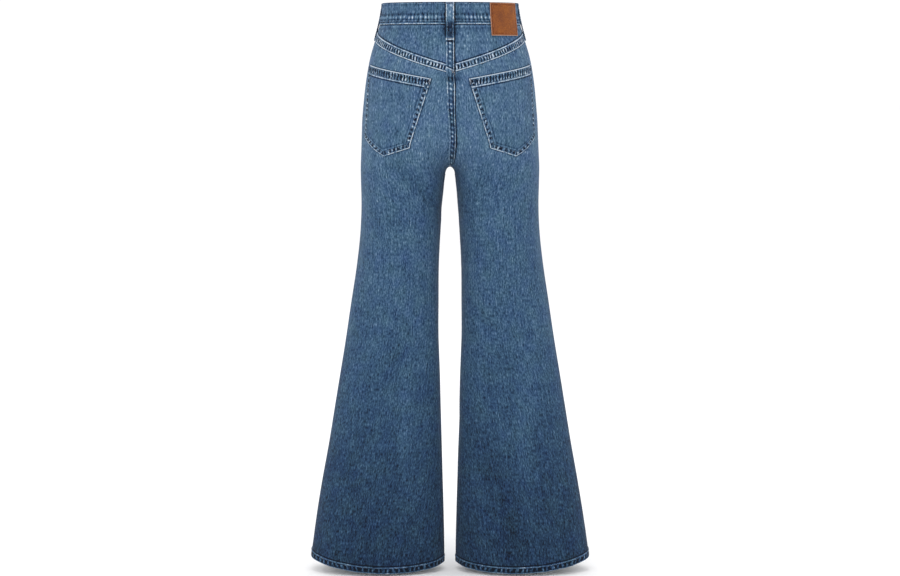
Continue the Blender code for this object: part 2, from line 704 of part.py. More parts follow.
def fly(parts):
    """The fly's flap over the meeting of the fronts, curved in to the centre at its foot."""
    top = WAIST_SEAM - WAIST_DIP - GAP
    straight = np.linspace(top, FLY_STRAIGHT, 6)
    curved = np.linspace(FLY_STRAIGHT, FLY_FOOT, 8)[1:]
    z = np.concatenate([straight, curved])[:, None]
    below = np.clip((FLY_STRAIGHT - z) / (FLY_STRAIGHT - FLY_FOOT), 0, FLY_BLUNT)
    wide = FLY_WIDE * np.sqrt(1 - below**2)
    x = BAND_END + (wide - BAND_END) * np.linspace(0, 1, 9)
    return sheet(parts, "fly", over_centre("front", x, z, 2 * GAP), (0, -1, 0), FLY_THICK, 1, "denim")


def zip_tape(parts):
    """The closed zip, behind the fronts."""
    x = np.linspace(-ZIP_WIDE, ZIP_WIDE, 6)
    z = np.linspace(WAIST_SEAM - WAIST_DIP - GAP, ZIP_FOOT, 9)[:, None]
    grid = over_centre("front", x + 0 * z, z, -CLOTH - 2 * GAP)
    return sheet(parts, "zip", grid, (0, -1, 0), ZIP_THICK, -1, "tape")


def button(parts):
    """The waist button, turned about its own axis: a short shank and a dished head."""
    profile = (
        (0.0, BUTTON_HIGH - 0.0007),
        (0.55 * BUTTON_RADIUS, BUTTON_HIGH - 0.0007),
        (0.72 * BUTTON_RADIUS, BUTTON_HIGH),
        (0.90 * BUTTON_RADIUS, BUTTON_HIGH - 0.0001),
        (BUTTON_RADIUS, BUTTON_HIGH - 0.0009),
        (0.98 * BUTTON_RADIUS, BUTTON_HIGH - 0.0019),
        (0.50 * BUTTON_RADIUS, BUTTON_HIGH - 0.0023),
        (0.45 * BUTTON_RADIUS, 0.0),
        (0.0, 0.0),
    )
    mesh = bpy.data.meshes.new("button")
    edges = [(i, i + 1) for i in range(len(profile) - 1)]
    mesh.from_pydata([(r, 0, h) for r, h in profile], edges, [])
    piece = bpy.data.objects.new("button", mesh)
    parts.objects.link(piece)
    piece.data.materials.append(finish_for("button", "copper"))
    angle = front_angle(BUTTON_X)
    angles = np.array([angle, angle + 0.02, angle])
    places = np.array([0.0, 0.0, 0.004]) - WAIST_DIP + (WAIST_TOP + WAIST_SEAM) / 2
    middle, beside, above = at_waist(angles, places, BAND_PROUD + GAP)
    axis = np.cross(beside - middle, above - middle)
    piece.location = (middle + axis / np.linalg.norm(axis) * GAP).tolist()
    piece.rotation_euler = Vector(axis.tolist()).to_track_quat("Z", "Y").to_euler()
    turn = piece.modifiers.new("turn", "SCREW")
    turn.axis = "Z"
    turn.steps = turn.render_steps = 20
    turn.use_merge_vertices = True
    turn.merge_threshold = 0.00002
    turn.use_smooth_shade = True
    return piece


def main():
    clear_scene()
    parts = collection_for_parts()
    for side in (1, -1):
        panels(parts, side)
        yoke(parts, side)
        back_pocket(parts, side)
        pocket_facing(parts, side)
    waistband(parts)
    for loop in records(LOOP_COLUMNS, LOOPS):
        belt_loop(parts, **loop)
    patch(parts)
    fly(parts)
    zip_tape(parts)
    button(parts)


main()
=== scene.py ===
# %% [markdown]
# # A pair of flared jeans, filled out as if worn
#
# This lesson dresses a plain model of flared jeans. The plain model gives every piece of denim its place and its
# size. Here each piece is made again as finely bent cloth, with thread, worn edges and a washed denim finish.
#
# The first cell loads the plain model. Every later piece takes its place from it.

# %% Load the plain model
import math

import bpy
import numpy as np
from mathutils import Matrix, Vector


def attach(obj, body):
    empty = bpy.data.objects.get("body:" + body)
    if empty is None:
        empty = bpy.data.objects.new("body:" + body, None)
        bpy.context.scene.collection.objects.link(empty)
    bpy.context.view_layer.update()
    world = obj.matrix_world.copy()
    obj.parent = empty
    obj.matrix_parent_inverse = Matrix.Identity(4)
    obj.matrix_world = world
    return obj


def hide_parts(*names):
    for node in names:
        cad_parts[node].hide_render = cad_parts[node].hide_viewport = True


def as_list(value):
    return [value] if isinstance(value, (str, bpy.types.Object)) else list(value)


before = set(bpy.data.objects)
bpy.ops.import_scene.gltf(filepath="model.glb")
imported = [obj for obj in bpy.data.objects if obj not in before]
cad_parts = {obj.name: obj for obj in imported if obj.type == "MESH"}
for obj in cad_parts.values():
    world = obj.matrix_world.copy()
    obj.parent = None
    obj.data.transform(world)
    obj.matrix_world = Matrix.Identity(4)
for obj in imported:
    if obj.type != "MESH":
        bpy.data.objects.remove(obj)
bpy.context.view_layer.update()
print("nodes:", sorted(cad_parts))

# %% [markdown]
# ## Camera, light and floor
#
# The jeans are looked at from behind, a little from above, with a long lens that hardly spreads the legs. A white
# sky lights cloth evenly from all sides, as a light tent does, and five broad lamps give the folds their shape. The
# floor is pale and lies just under the hems.

# %% Camera
scene = bpy.context.scene
EYE = Vector((0.0, 4.0, -0.117))
AIM = Vector((0.0, 0.0, -0.548))
LENS = 80.46


def add(name, data):
    """A new object in the scene."""
    thing = bpy.data.objects.new(name, data)
    scene.collection.objects.link(thing)
    return thing


camera = add("camera", bpy.data.cameras.new("camera"))
camera.location = EYE
camera.rotation_euler = (AIM - EYE).to_track_quat("-Z", "Y").to_euler()
camera.data.lens = LENS
camera.data.clip_end = 200
scene.camera = camera
print("camera looks along", tuple(round(x, 3) for x in (AIM - EYE).normalized()))

# %% Sky, lamps and floor
scene.view_settings.view_transform = "Standard"
FLOOR_HEIGHT = -1.1215

sky = bpy.data.worlds.new("white_sky")
scene.world = sky
sky.use_nodes = True
glow = sky.node_tree.nodes["Background"]
glow.inputs["Color"].default_value = (0.99, 0.99, 1.0, 1.0)
glow.inputs["Strength"].default_value = 1.08

# Each lamp: name, place, what it points at, width, watts.
LAMPS = (
    ("lamp_behind_left", (2.6, 3.2, 1.6), (0.0, 0.0, -0.5), 1.8, 20.0),
    ("lamp_behind_right", (-2.2, 3.6, 1.2), (0.0, 0.0, -0.6), 2.2, 11.0),
    ("lamp_front_left", (2.4, -3.2, 1.6), (0.0, 0.0, -0.5), 1.8, 18.0),
    ("lamp_front_right", (-2.6, -3.0, 1.4), (0.0, 0.0, -0.6), 2.2, 12.0),
    ("lamp_above", (0.0, 0.4, 2.4), (0.0, 0.0, -0.5), 2.0, 12.0),
)
for name, place, target, width, watts in LAMPS:
    lamp = bpy.data.lights.new(name, "AREA")
    lamp.shape = "DISK"
    lamp.size = width
    lamp.energy = watts
    holder = add(name, lamp)
    holder.location = place
    holder.rotation_euler = (Vector(target) - Vector(place)).to_track_quat("-Z", "Y").to_euler()

bpy.ops.object.select_all(action="DESELECT")
bpy.ops.mesh.primitive_circle_add(vertices=64, radius=60, fill_type="NGON", location=(0, 0, FLOOR_HEIGHT))
floor = bpy.context.object
floor.name = "floor"
floor_finish = bpy.data.materials.new("pale_floor")
floor_finish.use_nodes = True
floor_shader = floor_finish.node_tree.nodes["Principled BSDF"]
floor_shader.inputs["Base Color"].default_value = (0.97, 0.97, 0.97, 1.0)
floor_shader.inputs["Roughness"].default_value = 0.8
floor.data.materials.append(floor_finish)
print("lamps:", len(LAMPS), "floor at", FLOOR_HEIGHT)

# %% [markdown]
# ## Shader arithmetic in Python
#
# Denim's colour is a sum of many small effects. Written as expressions they can be read and changed like any other
# formula, so one small class stands for a socket and turns each operator into a Math node. Every other node comes
# from one method.

# %% Sockets with operators
class Socket:
    """The output of a shader node, with Python's arithmetic on it."""

    def __init__(self, finish, socket):
        self.finish = finish
        self.socket = socket

    def maths(self, operation, *values):
        return self.finish.node("ShaderNodeMath", {"operation": operation}, dict(enumerate(values)))

    def __add__(self, other):
        return self.maths("ADD", self, other)

    def __sub__(self, other):
        return self.maths("SUBTRACT", self, other)

    def __mul__(self, other):
        return self.maths("MULTIPLY", self, other)

    def __rsub__(self, other):
        return self.maths("SUBTRACT", other, self)

    __radd__ = __add__
    __rmul__ = __mul__

    def sine(self):
        return self.maths("SINE", self)

    def size(self):
        return self.maths("ABSOLUTE", self)

    def rising(self, low, high):
        """0 below low, 1 above high, smooth between."""
        settings = {"interpolation_type": "SMOOTHSTEP"}
        return self.finish.node("ShaderNodeMapRange", settings, {"Value": self, "From Min": low, "From Max": high})

    def near(self, middle, reach):
        """1 at middle, falling to 0 at this reach on both sides."""
        return 1 - (self - middle).size().rising(0.0, reach)


class Finish:
    """A material while it is put together."""

    def __init__(self, name, **constants):
        self.material = bpy.data.materials.new(name)
        self.material.use_nodes = True
        self.tree = self.material.node_tree
        self.shader = self.tree.nodes["Principled BSDF"]
        for socket, value in constants.items():
            self.shader.inputs[socket.replace("_", " ")].default_value = value

    def node(self, kind, settings, sockets, output=0):
        node = self.tree.nodes.new(kind)
        for name, value in settings.items():
            setattr(node, name, value)
        for name, value in sockets.items():
            if isinstance(value, Socket):
                self.tree.links.new(value.socket, node.inputs[name])
            else:
                node.inputs[name].default_value = value
        return Socket(self, node.outputs[output])

    def reading(self, name, output="Fac"):
        """An attribute of the piece."""
        return self.node("ShaderNodeAttribute", {"attribute_name": name}, {}, output)

    def place(self):
        """The place on the piece, in metres."""
        return self.node("ShaderNodeTexCoord", {}, {}, "Object")

    def parts(self, vector):
        """The three numbers of a vector."""
        return [self.node("ShaderNodeSeparateXYZ", {}, {0: vector}, i) for i in range(3)]

    def vector(self, x, y, z=0.0):
        return self.node("ShaderNodeCombineXYZ", {}, {0: x, 1: y, 2: z})

    def noise(self, vector, scale=1.0, detail=2.0, rough=0.5):
        """Noise from -1 to 1, and mostly within half of that."""
        sockets = {"Vector": vector, "Scale": scale, "Detail": detail, "Roughness": rough}
        return self.node("ShaderNodeTexNoise", {"noise_dimensions": "3D"}, sockets) * 2.0 - 1.0

    def ramp(self, stops, value):
        """The colour at this value, blended between stops of place and colour."""
        colour = self.node("ShaderNodeValToRGB", {}, {"Fac": value})
        elements = colour.socket.node.color_ramp.elements
        while len(elements) < len(stops):
            elements.new(1.0)
        for element, (place, shade) in zip(elements, stops):
            element.position = place
            element.color = (*shade, 1.0)
        return colour

    def bump(self, relief, strength=1.0):
        """The normal of a surface with this relief, in metres."""
        return self.node("ShaderNodeBump", {}, {"Height": relief, "Distance": 1.0, "Strength": strength})

    def shows(self, **sockets):
        for name, value in sockets.items():
            self.tree.links.new(value.socket, self.shader.inputs[name.replace("_", " ")])
        return self.material


class ClothFinish(Finish):
    """A finish that is laid out across and down the cloth, in metres."""

    def __init__(self, name, **constants):
        super().__init__(name, **constants)
        self.across, self.down, _ = self.parts(self.node("ShaderNodeUVMap", {"uv_map": "cloth"}, {}))

    def grain(self, across, down, start=0.0, detail=2.0, rough=0.5):
        """Noise with this many waves in a metre across and down the cloth."""
        return self.noise(self.vector(self.across * across, self.down * down, start), detail=detail, rough=rough)

    def ribs(self, across, down):
        """Even ribs, with this many in a metre across and down the cloth."""
        return ((self.across * across + self.down * down) * (2 * math.pi)).sine()


LIGHT = 1.25


def linear(red, green, blue):
    """The colour of a surface that is to show as these values, 0 to 255, under light of strength LIGHT."""
    def one(value):
        value /= 255
        return (value / 12.92 if value <= 0.04045 else ((value + 0.055) / 1.055) ** 2.4) / LIGHT
    return one(red), one(green), one(blue)


print("mid denim as light:", tuple(round(x, 3) for x in linear(71, 99, 128)))

# %% [markdown]
# ## The surface that the cloth lies on
#
# Both legs and the seat are one smooth surface. A level cut through it is two rounded loops, one for each leg, which
# melt together above the crotch. A table gives each loop's edges. Pieces are marked out on it as a cutter
# would, by height and by distance from a seam, so that layers of cloth lie neatly on each other. This is the same
# surface as the plain model's, with its folds.

# %% Sizes of the jeans, in metres
# The wearer's two sides: +X is the left.
SIDES = {1: "left", -1: "right"}
CLOTH = 0.0012
GAP = 0.0003
SEAM_HALF = 0.00018
FELL_RISE = 0.0007
FELL_STEP = 0.0008
WAIST_TOP = 0.0162
WAIST_SEAM = -0.0260
WAIST_DIP = 0.010
DIP_FULL = 0.09
CROTCH = -0.3053
HEM_SIDE = -1.0860
HEM_INSEAM = -1.1020
HEM_BAND = 0.012
HEM_SAG = {"back": 0.0215, "front": -0.0020}
LOWEST = -1.128
TABLE_TOP = 0.030
CROTCH_REACH = 0.013

# The leg loop's edges in millimetres, and how square it is.
SECTION_COLUMNS = ("z", "outer", "inner", "front", "back", "middle", "square")
SECTIONS = (
    (30, 129.5, -129.5, -89, 85, -2, 2.20),
    (-20, 137, -137, -93, 91, -1, 2.20),
    (-44, 143.8, -143.8, -96, 98, 0, 2.20),
    (-92, 157.8, -157.8, -102, 112, 3, 2.20),
    (-140, 166, -166, -105.5, 121.5, 6, 2.22),
    (-188, 170.9, -170, -106, 126, 8, 2.26),
    (-212, 172.9, -134, -105.5, 126, 8, 2.32),
    (-236, 173.9, -78.6, -104, 124, 8, 2.40),
    (-260, 174.8, -34.8, -102, 119.5, 7, 2.46),
    (-284, 175.8, -7.4, -99, 113, 6, 2.50),
    (-305.3, 176.7, 6.4, -96.5, 107, 4, 2.48),
    (-332, 176.5, 11.4, -94, 101, 2, 2.40),
    (-380, 175.9, 16, -92, 93, 0, 2.30),
    (-428, 178.1, 19.3, -89, 87, -1, 2.22),
    (-500, 186.1, 23, -83, 76, -4, 2.16),
    (-572, 197.1, 23.5, -77, 65.5, -6, 2.12),
    (-644, 208.1, 23.6, -73, 60.5, -6, 2.10),
    (-716, 220.1, 21, -71, 59, -6, 2.10),
    (-788, 232.1, 19, -70, 59, -5, 2.10),
    (-860, 244.1, 16.9, -70, 60, -5, 2.10),
    (-932, 257.1, 15.1, -70.5, 61.2, -5, 2.10),
    (-1004, 269.1, 13.8, -71, 62.4, -5, 2.10),
    (-1078, 280.1, 13.2, -72, 63.5, -5, 2.10),
    (-1130, 287.1, 13.2, -72.8, 64.2, -5, 2.10),
)
JOIN = 0.30
JOIN_FULL = 0.6
SIDE_TURN = 0.14
INSEAM_TURN = 0.14
INSEAM_SETTLE = 0.12
REACH = 0.4
STEADY = 22

# The folds of each face and side, in millimetres: x, z, x, z, width, depth. Each is a soft trough, or a ridge where
# its depth is below 0. The large ones come first, and the plain model has them too.
CREASE_END = 0.12
CREASES = {
    ("back", 1): (
        (100, -292, 26, -386, 16, 4),
        (128, -318, 70, -392, 15, 2),
        (112, -582, 66, -626, 12, 2.8),
        (152, -640, 60, -690, 17, 3),
        (40, -270, 16, -330, 8, 1.6),
        (60, -300, 22, -352, 8, -1.4),
        (150, -300, 96, -346, 11, -1.3),
        (96, -556, 52, -592, 9, -1.5),
        (134, -596, 90, -640, 9, -1.3),
        (120, -676, 104, -742, 12, 2),
        (176, -560, 148, -600, 10, 1.2),
        (86, -700, 90, -1010, 16, -1.8),
        (180, -820, 206, -1060, 18, 1.8),
        (130, -900, 140, -1080, 16, 1.4),
    ),
    ("back", -1): (
        (74, -292, 54, -358, 15, 3.2),
        (118, -330, 40, -402, 17, 2.2),
        (54, -594, 86, -642, 12, 3),
        (140, -660, 70, -716, 18, 2.4),
        (30, -816, 146, -1042, 24, 3.4),
        (36, -276, 14, -326, 8, 1.6),
        (94, -296, 74, -344, 9, -1.4),
        (70, -566, 98, -604, 9, -1.3),
        (118, -610, 160, -576, 11, 1.2),
        (148, -680, 152, -1010, 16, -2),
        (90, -760, 110, -900, 14, -1.4),
        (200, -880, 220, -1070, 16, 1.4),
        (60, -960, 72, -1080, 14, -1.2),
    ),
    ("front", 1): (
        (40, -262, 120, -222, 16, 2.4),
        (46, -312, 140, -290, 18, 2.6),
        (60, -596, 140, -560, 17, 2.6),
        (150, -640, 70, -676, 18, 2.2),
        (14, -296, 80, -252, 9, 1.8),
        (12, -240, 70, -206, 10, 1.2),
        (70, -560, 130, -536, 10, -1.4),
        (84, -622, 150, -606, 11, -1.4),
        (100, -720, 124, -1040, 18, -1.8),
        (180, -860, 208, -1070, 16, 1.6),
    ),
    ("front", -1): (
        (36, -256, 110, -226, 15, 2.6),
        (50, -318, 146, -302, 19, 2.2),
        (70, -584, 150, -566, 16, 2.2),
        (140, -664, 64, -640, 18, 2.6),
        (14, -290, 90, -246, 9, 1.8),
        (14, -226, 60, -200, 10, 1.2),
        (66, -612, 130, -622, 10, -1.4),
        (110, -540, 160, -524, 11, 1.4),
        (90, -740, 100, -1050, 18, -2),
        (160, -820, 190, -1060, 18, 1.8),
    ),
}
print("folds:", sum(len(marks) for marks in CREASES.values()))

# %% Curves and tables
def columns(names, rows):
    """A table's columns by name, as arrays, from the lowest row of its first column up."""
    table = np.array(rows, float)
    table = table[np.argsort(table[:, 0])]
    return {name: table[:, i] for i, name in enumerate(names)}


def smooth(x, xs, ys):
    """A smooth curve through the points (xs, ys), read at x. The xs rise."""
    slopes = np.gradient(ys, xs)
    i = np.clip(np.searchsorted(xs, x) - 1, 0, len(xs) - 2)
    width = xs[i + 1] - xs[i]
    t = (x - xs[i]) / width
    start = ys[i] * (1 + 2 * t) * (1 - t) ** 2 + slopes[i] * width * t * (1 - t) ** 2
    end = ys[i + 1] * t**2 * (3 - 2 * t) + slopes[i + 1] * width * t**2 * (t - 1)
    return start + end


def ease(t):
    """0 up to t = 0, 1 from t = 1, and smooth between."""
    t = np.clip(t, 0.0, 1.0)
    return t * t * (3 - 2 * t)


def between_ends(share, reach):
    """0 at shares 0 and 1, and 1 from this reach inside them."""
    return ease(share / reach) * ease((1 - share) / reach)


def beyond_ellipse(across, down, wide, deep):
    """How far a place lies beyond the edge of an ellipse with these half sizes, below 0 inside it."""
    reach = np.hypot(across / wide, down / deep)
    slope = np.hypot(across / wide**2, down / deep**2) / np.maximum(reach, 1e-6)
    return (reach - 1) / np.maximum(slope, 1e-6)


def close_at_ends(start, end, steps, gap, count):
    """Columns from start to end: at these steps in from both ends, and even from a gap inside them."""
    steps = np.array(steps)
    return np.concatenate([start + steps, np.linspace(start + gap, end - gap, count), end - steps[::-1]])


def blend(start, end, share):
    """The place at this share of the way from start to end."""
    return start + (end - start) * share


def line_at(distance, wide):
    """1 on a line, falling away softly to both sides of it."""
    return np.exp(-((distance / wide) ** 2))


def lines_beside(distance, lines):
    """Soft lines that run beside an edge. Each line: its strength, its distance from the edge and its width."""
    return sum(strength * line_at(distance - place, wide) for strength, place, wide in lines)


def unit(vectors):
    return vectors / np.linalg.norm(vectors, axis=-1, keepdims=True)


TABLE = columns(SECTION_COLUMNS, [(*np.array(edges) / 1000, square) for *edges, square in SECTIONS])


def section(z):
    """The leg loop's sizes at each height z."""
    row = {name: smooth(z, TABLE["z"], TABLE[name]) for name in SECTION_COLUMNS[1:]}
    row["centre"] = np.maximum(row["outer"] + row["inner"], 0.0) / 2
    row["half"] = row["outer"] - row["centre"]
    spread = row["centre"] / row["half"]
    row["join"] = JOIN * np.clip(spread / JOIN_FULL, 1e-6, 1.0)
    return row


def outside(x, y, row):
    """Below 0 inside the cloth and above 0 outside it."""
    depth = np.where(y > row["middle"], row["back"] - row["middle"], row["middle"] - row["front"])
    n = row["square"]
    deep = (np.abs(y - row["middle"]) / depth) ** n
    here = ((np.abs(x - row["centre"]) / row["half"]) ** n + deep) ** (1 / n)
    there = ((np.abs(x + row["centre"]) / row["half"]) ** n + deep) ** (1 / n)
    near = np.maximum(row["join"] - np.abs(here - there), 0.0)
    return np.minimum(here, there) - near**2 / (4 * row["join"]) - 1.0


def bisect(test, low, high, rounds=40):
    """The place between low, where test is below 0, and high, where it is above."""
    for _ in range(rounds):
        middle = (low + high) / 2
        inside = test(middle) < 0
        low = np.where(inside, middle, low)
        high = np.where(inside, high, middle)
    return (low + high) / 2


def heights():
    close = CROTCH_REACH * np.linspace(0.04, 0.94, 11) ** 2.2
    even = np.linspace(LOWEST, TABLE_TOP, 340)
    even = even[np.abs(even - CROTCH) > CROTCH_REACH]
    return np.sort(np.concatenate([even, CROTCH - close, CROTCH + close]))


print("half width at the hem:", round(float(section(np.float64(-1.1))["half"]), 4))

# %% [markdown]
# A quarter of the surface is one face of one side: from the side seam round to the centre seam above the crotch, and
# to the inseam below it. It is worked out once on a close grid of heights and distances, with its folds, and then
# read between those points.
#
# Cloth is never quite smooth, so a faint uneven swell is added to the folds.

# %% The surface, a quarter at a time
def swell(x, z, seed):
    """A slow, uneven rise and fall of the cloth, within about a millimetre."""
    chance = np.random.default_rng(seed)
    total = np.zeros_like(x)
    for _ in range(9):
        across, down = chance.uniform(18, 60), chance.uniform(8, 34)
        phase, lean = chance.uniform(0, 6.28, 2)
        total += np.sin(across * x + down * z * math.cos(lean) + phase) / 9
    return 0.0011 * total


class Quarter:
    """The cloth surface on one face and one side, from the side seam round to the rise or the inseam."""

    FINE = 260
    STEPS = 161

    def __init__(self, face, side):
        self.face = face
        self.side = side
        self.sign = 1 if face == "back" else -1
        self.z = heights()
        self.points, self.length = self.lay_out()
        self.normals = self.facing()
        self.relief = self.creased()
        self.points = self.points + self.normals * self.relief[..., None]
        self.normals = self.facing()
        even = np.arange(self.z[0], self.z[-1], 0.002)
        held = np.pad(np.interp(even, self.z, self.length), STEADY, mode="edge")
        window = np.hanning(2 * STEADY + 1)
        self.steady = even, np.convolve(held, window / window.sum(), mode="valid")

    def end_turn(self, row):
        start = row["middle"]
        far = start + self.sign * REACH
        x = np.full_like(self.z, SEAM_HALF)
        joined = outside(x, start, row) < 0
        y = bisect(lambda v: outside(x, v, row), start, far)
        rise = np.arctan2(np.abs(y - start), x - row["centre"])
        lean = INSEAM_TURN * ease((CROTCH - self.z) / INSEAM_SETTLE)
        inseam = math.pi + self.sign * lean - SEAM_HALF / row["half"]
        return np.where(joined, np.minimum(rise, inseam), inseam)

    def lay_out(self):
        row = section(self.z)
        first = -self.sign * SIDE_TURN + SEAM_HALF / row["outer"]
        last = self.end_turn(row)
        turns = first[:, None] + (last - first)[:, None] * np.linspace(0, 1, self.FINE)
        wide = {name: value[:, None] for name, value in row.items()}
        across, deep = np.cos(turns), self.sign * np.sin(turns)

        def test(reach):
            return outside(wide["centre"] + reach * across, wide["middle"] + reach * deep, wide)

        to_plane = wide["centre"] / np.maximum(-across, 1e-6)
        most = np.where(across < 0, np.minimum(to_plane, REACH), REACH)
        reach = bisect(test, np.zeros_like(turns), most)
        x = wide["centre"] + reach * across
        y = wide["middle"] + reach * deep
        steps = np.hypot(np.diff(x, axis=1), np.diff(y, axis=1))
        along = np.concatenate([np.zeros((len(x), 1)), np.cumsum(steps, axis=1)], axis=1)
        points = np.empty((len(x), self.STEPS, 3))
        for i, length in enumerate(along[:, -1]):
            even = np.linspace(0, length, self.STEPS)
            points[i, :, 0] = np.interp(even, along[i], x[i])
            points[i, :, 1] = np.interp(even, along[i], y[i])
            points[i, :, 2] = self.z[i]
        points[..., 0] *= self.side
        return points, along[:, -1]

    def facing(self):
        up = np.gradient(self.points, axis=0)
        around = np.gradient(self.points, axis=1)
        return unit(np.cross(around, up)) * (self.sign * self.side)

    def creased(self):
        """How far the folds and the swell push each place out."""
        x = np.abs(self.points[..., 0])
        z = self.points[..., 2]
        pushed = np.zeros_like(x)
        for *line, depth in np.array(CREASES[self.face, self.side]) / 1000:
            pushed -= depth * stroke(x, z, *line)
        calm = between_ends(np.linspace(0, 1, self.STEPS), 0.12) * ease((-z - 0.05) / 0.15)
        seed = 10 + (self.face == "back") + 2 * (self.side == 1)
        return pushed + swell(x, z, seed) * calm

    def round_at(self, z):
        """The distance from the side seam to this quarter's other end, at height z."""
        return np.interp(z, self.z, self.length)

    def column(self, share, z):
        steady = np.interp(z, *self.steady)
        return steady * share + (self.round_at(z) - steady) * share**4

    def reader(self, distance, z):
        i = np.clip(np.searchsorted(self.z, z) - 1, 0, len(self.z) - 2)
        v = (z - self.z[i]) / (self.z[i + 1] - self.z[i])
        share = np.clip(distance / self.round_at(z), 0, 1) * (self.STEPS - 1)
        j = np.clip(share.astype(int), 0, self.STEPS - 2)
        u = share - j

        def read(grid):
            low = grid[i, j] * (1 - u)[..., None] + grid[i, j + 1] * u[..., None]
            high = grid[i + 1, j] * (1 - u)[..., None] + grid[i + 1, j + 1] * u[..., None]
            return low * (1 - v)[..., None] + high * v[..., None]

        return read

    def lie(self, distance, z, out=0.0):
        """Points at these distances from the side seam, moved out along the cloth's normal, and that normal."""
        distance, z, out = np.broadcast_arrays(distance, z, out)
        read = self.reader(distance, z)
        normal = unit(read(self.normals))
        return read(self.points) + normal * out[..., None], normal

    def at(self, distance, z, out=0.0):
        return self.lie(distance, z, out)[0]

    def relief_at(self, distance, z):
        distance, z = np.broadcast_arrays(distance, z)
        return self.reader(distance, z)(self.relief[..., None])[..., 0]


def from_stretch(x, z, x0, z0, x1, z1):
    """The distance of places from the straight stretch between two points, and the share of the way along it."""
    run_x, run_z = x1 - x0, z1 - z0
    from_x, from_z = x - x0, z - z0
    along = np.clip((from_x * run_x + from_z * run_z) / (run_x**2 + run_z**2), 0, 1)
    return np.hypot(from_x - along * run_x, from_z - along * run_z), along


def stroke(x, z, *line):
    """1 along a stretch, tapering to its ends and falling away over its width, the last number of its line."""
    away, along = from_stretch(x, z, *line[:4])
    taper = np.sin(math.pi * (CREASE_END + (1 - 2 * CREASE_END) * along))
    return taper * line_at(away, line[4])


QUARTERS = {(face, side): Quarter(face, side) for face in ("front", "back") for side in SIDES}


def on_both_sides(read, face, distance, z, *more):
    """What read finds on each side of a face, at this distance from its centre seam."""
    quarters = [QUARTERS[face, side] for side in SIDES]
    return [read(quarter, quarter.round_at(z) - np.abs(distance), z, *more) for quarter in quarters]


def lie_over_centre(face, distance, z, out=0.0):
    """Points and normals on both sides of a face's centre seam, by distance from it: above 0 on the left."""
    distance, z, out = np.broadcast_arrays(distance, z, out)
    found = on_both_sides(Quarter.lie, face, distance, z, out)
    left = (distance > 0)[..., None]
    return tuple(np.where(left, one, other) for one, other in zip(*found))


def waist_dip(y):
    """How much lower the waist is at depth y."""
    return -WAIST_DIP * np.clip(-y / DIP_FULL, 0, 1) ** 2


def lie_at_waist(angle, z, out=0.0):
    """Points and normals on the cloth above the hips, by their angle about +Z from the wearer's left."""
    angle, z, out = np.broadcast_arrays(angle, z, out)
    row = section(z)
    across, deep = np.cos(angle), np.sin(angle)

    def test(reach):
        return outside(np.abs(reach * across), row["middle"] + reach * deep, row)

    reach = bisect(test, np.zeros_like(z), np.full_like(z, REACH))
    n = row["square"]
    x = reach * across
    y = reach * deep
    depth = np.where(y > 0, row["back"] - row["middle"], row["middle"] - row["front"])
    normal = unit(np.stack([
        np.sign(x) * np.abs(x / row["half"]) ** (n - 1) / row["half"],
        np.sign(y) * np.abs(y / depth) ** (n - 1) / depth,
        np.zeros_like(x),
    ], axis=-1))
    return np.stack([x, y + row["middle"], z], axis=-1) + normal * out[..., None], normal


for (face, side), quarter in QUARTERS.items():
    print(face, side, "round at the hip:", round(float(quarter.round_at(-0.2)), 3))

# %% [markdown]
# ## How the denim has faded
#
# Indigo washes off where cloth is rubbed. These jeans are palest over the yoke and the seat and darkest at the hem,
# paler on ridges than in folds, and paler again along the side seams. Each piece carries this as one number at each
# of its points, its tone, from 0 for dark to 1 for white. A short list of brush strokes adds the uneven places.
# Painted shade is taken off the same number later: beside the seat's fold, under the waistband, around the belt
# loops, and over the belt loops at the sides.

# %% Fading
# Tone by height.
FADE = (
    (0.030, 0.56), (-0.022, 0.54), (-0.060, 0.57), (-0.110, 0.61), (-0.180, 0.60), (-0.260, 0.58),
    (-0.330, 0.515), (-0.450, 0.475), (-0.600, 0.45), (-0.720, 0.395), (-0.850, 0.325), (-0.960, 0.265),
    (-1.060, 0.215), (-1.130, 0.19),
)
# How much paler each metre of relief is, and the tones beside a side seam.
RELIEF_TONE = 10.0
SIDE_SEAM_LINES = ((0.16, 0.0, 0.016), (-0.08, 0.028, 0.006))
# Brush strokes on each face and side: x, z, x, z and width in millimetres, and tone.
STROKES = {
    ("back", 1): (
        (113, -568, 66, -612, 8, 0.10),
        (110, -660, 108, -722, 16, -0.07),
        (30, -310, 22, -420, 14, -0.07),
        (86, -640, 87, -1010, 16, 0.045),
        (100, -289, 27, -381, 12, -0.05),
        (100, -160, 90, -240, 40, 0.035),
    ),
    ("back", -1): (
        (30, -310, 24, -400, 14, -0.07),
        (71, -289, 52, -354, 11, -0.05),
        (52, -586, 84, -634, 8, -0.05),
        (44, -590, 76, -646, 7, 0.05),
        (147, -640, 148, -1010, 18, 0.05),
        (40, -800, 144, -1035, 22, -0.045),
        (100, -160, 90, -240, 40, 0.035),
    ),
    ("front", 1): (
        (90, -260, 100, -560, 50, 0.07),
        (110, -600, 120, -760, 40, 0.04),
        (20, -206, 120, -176, 8, 0.05),
        (24, -236, 126, -204, 8, 0.05),
    ),
    ("front", -1): (
        (90, -260, 100, -560, 50, 0.07),
        (110, -600, 120, -760, 40, 0.04),
        (22, -200, 118, -172, 8, 0.05),
        (24, -232, 130, -206, 8, 0.05),
    ),
}


def read_tones(z, table):
    """The tone at height z, from a table of heights and tones."""
    return smooth(z, *np.array(sorted(table)).T)


def fade(z):
    return read_tones(z, FADE)


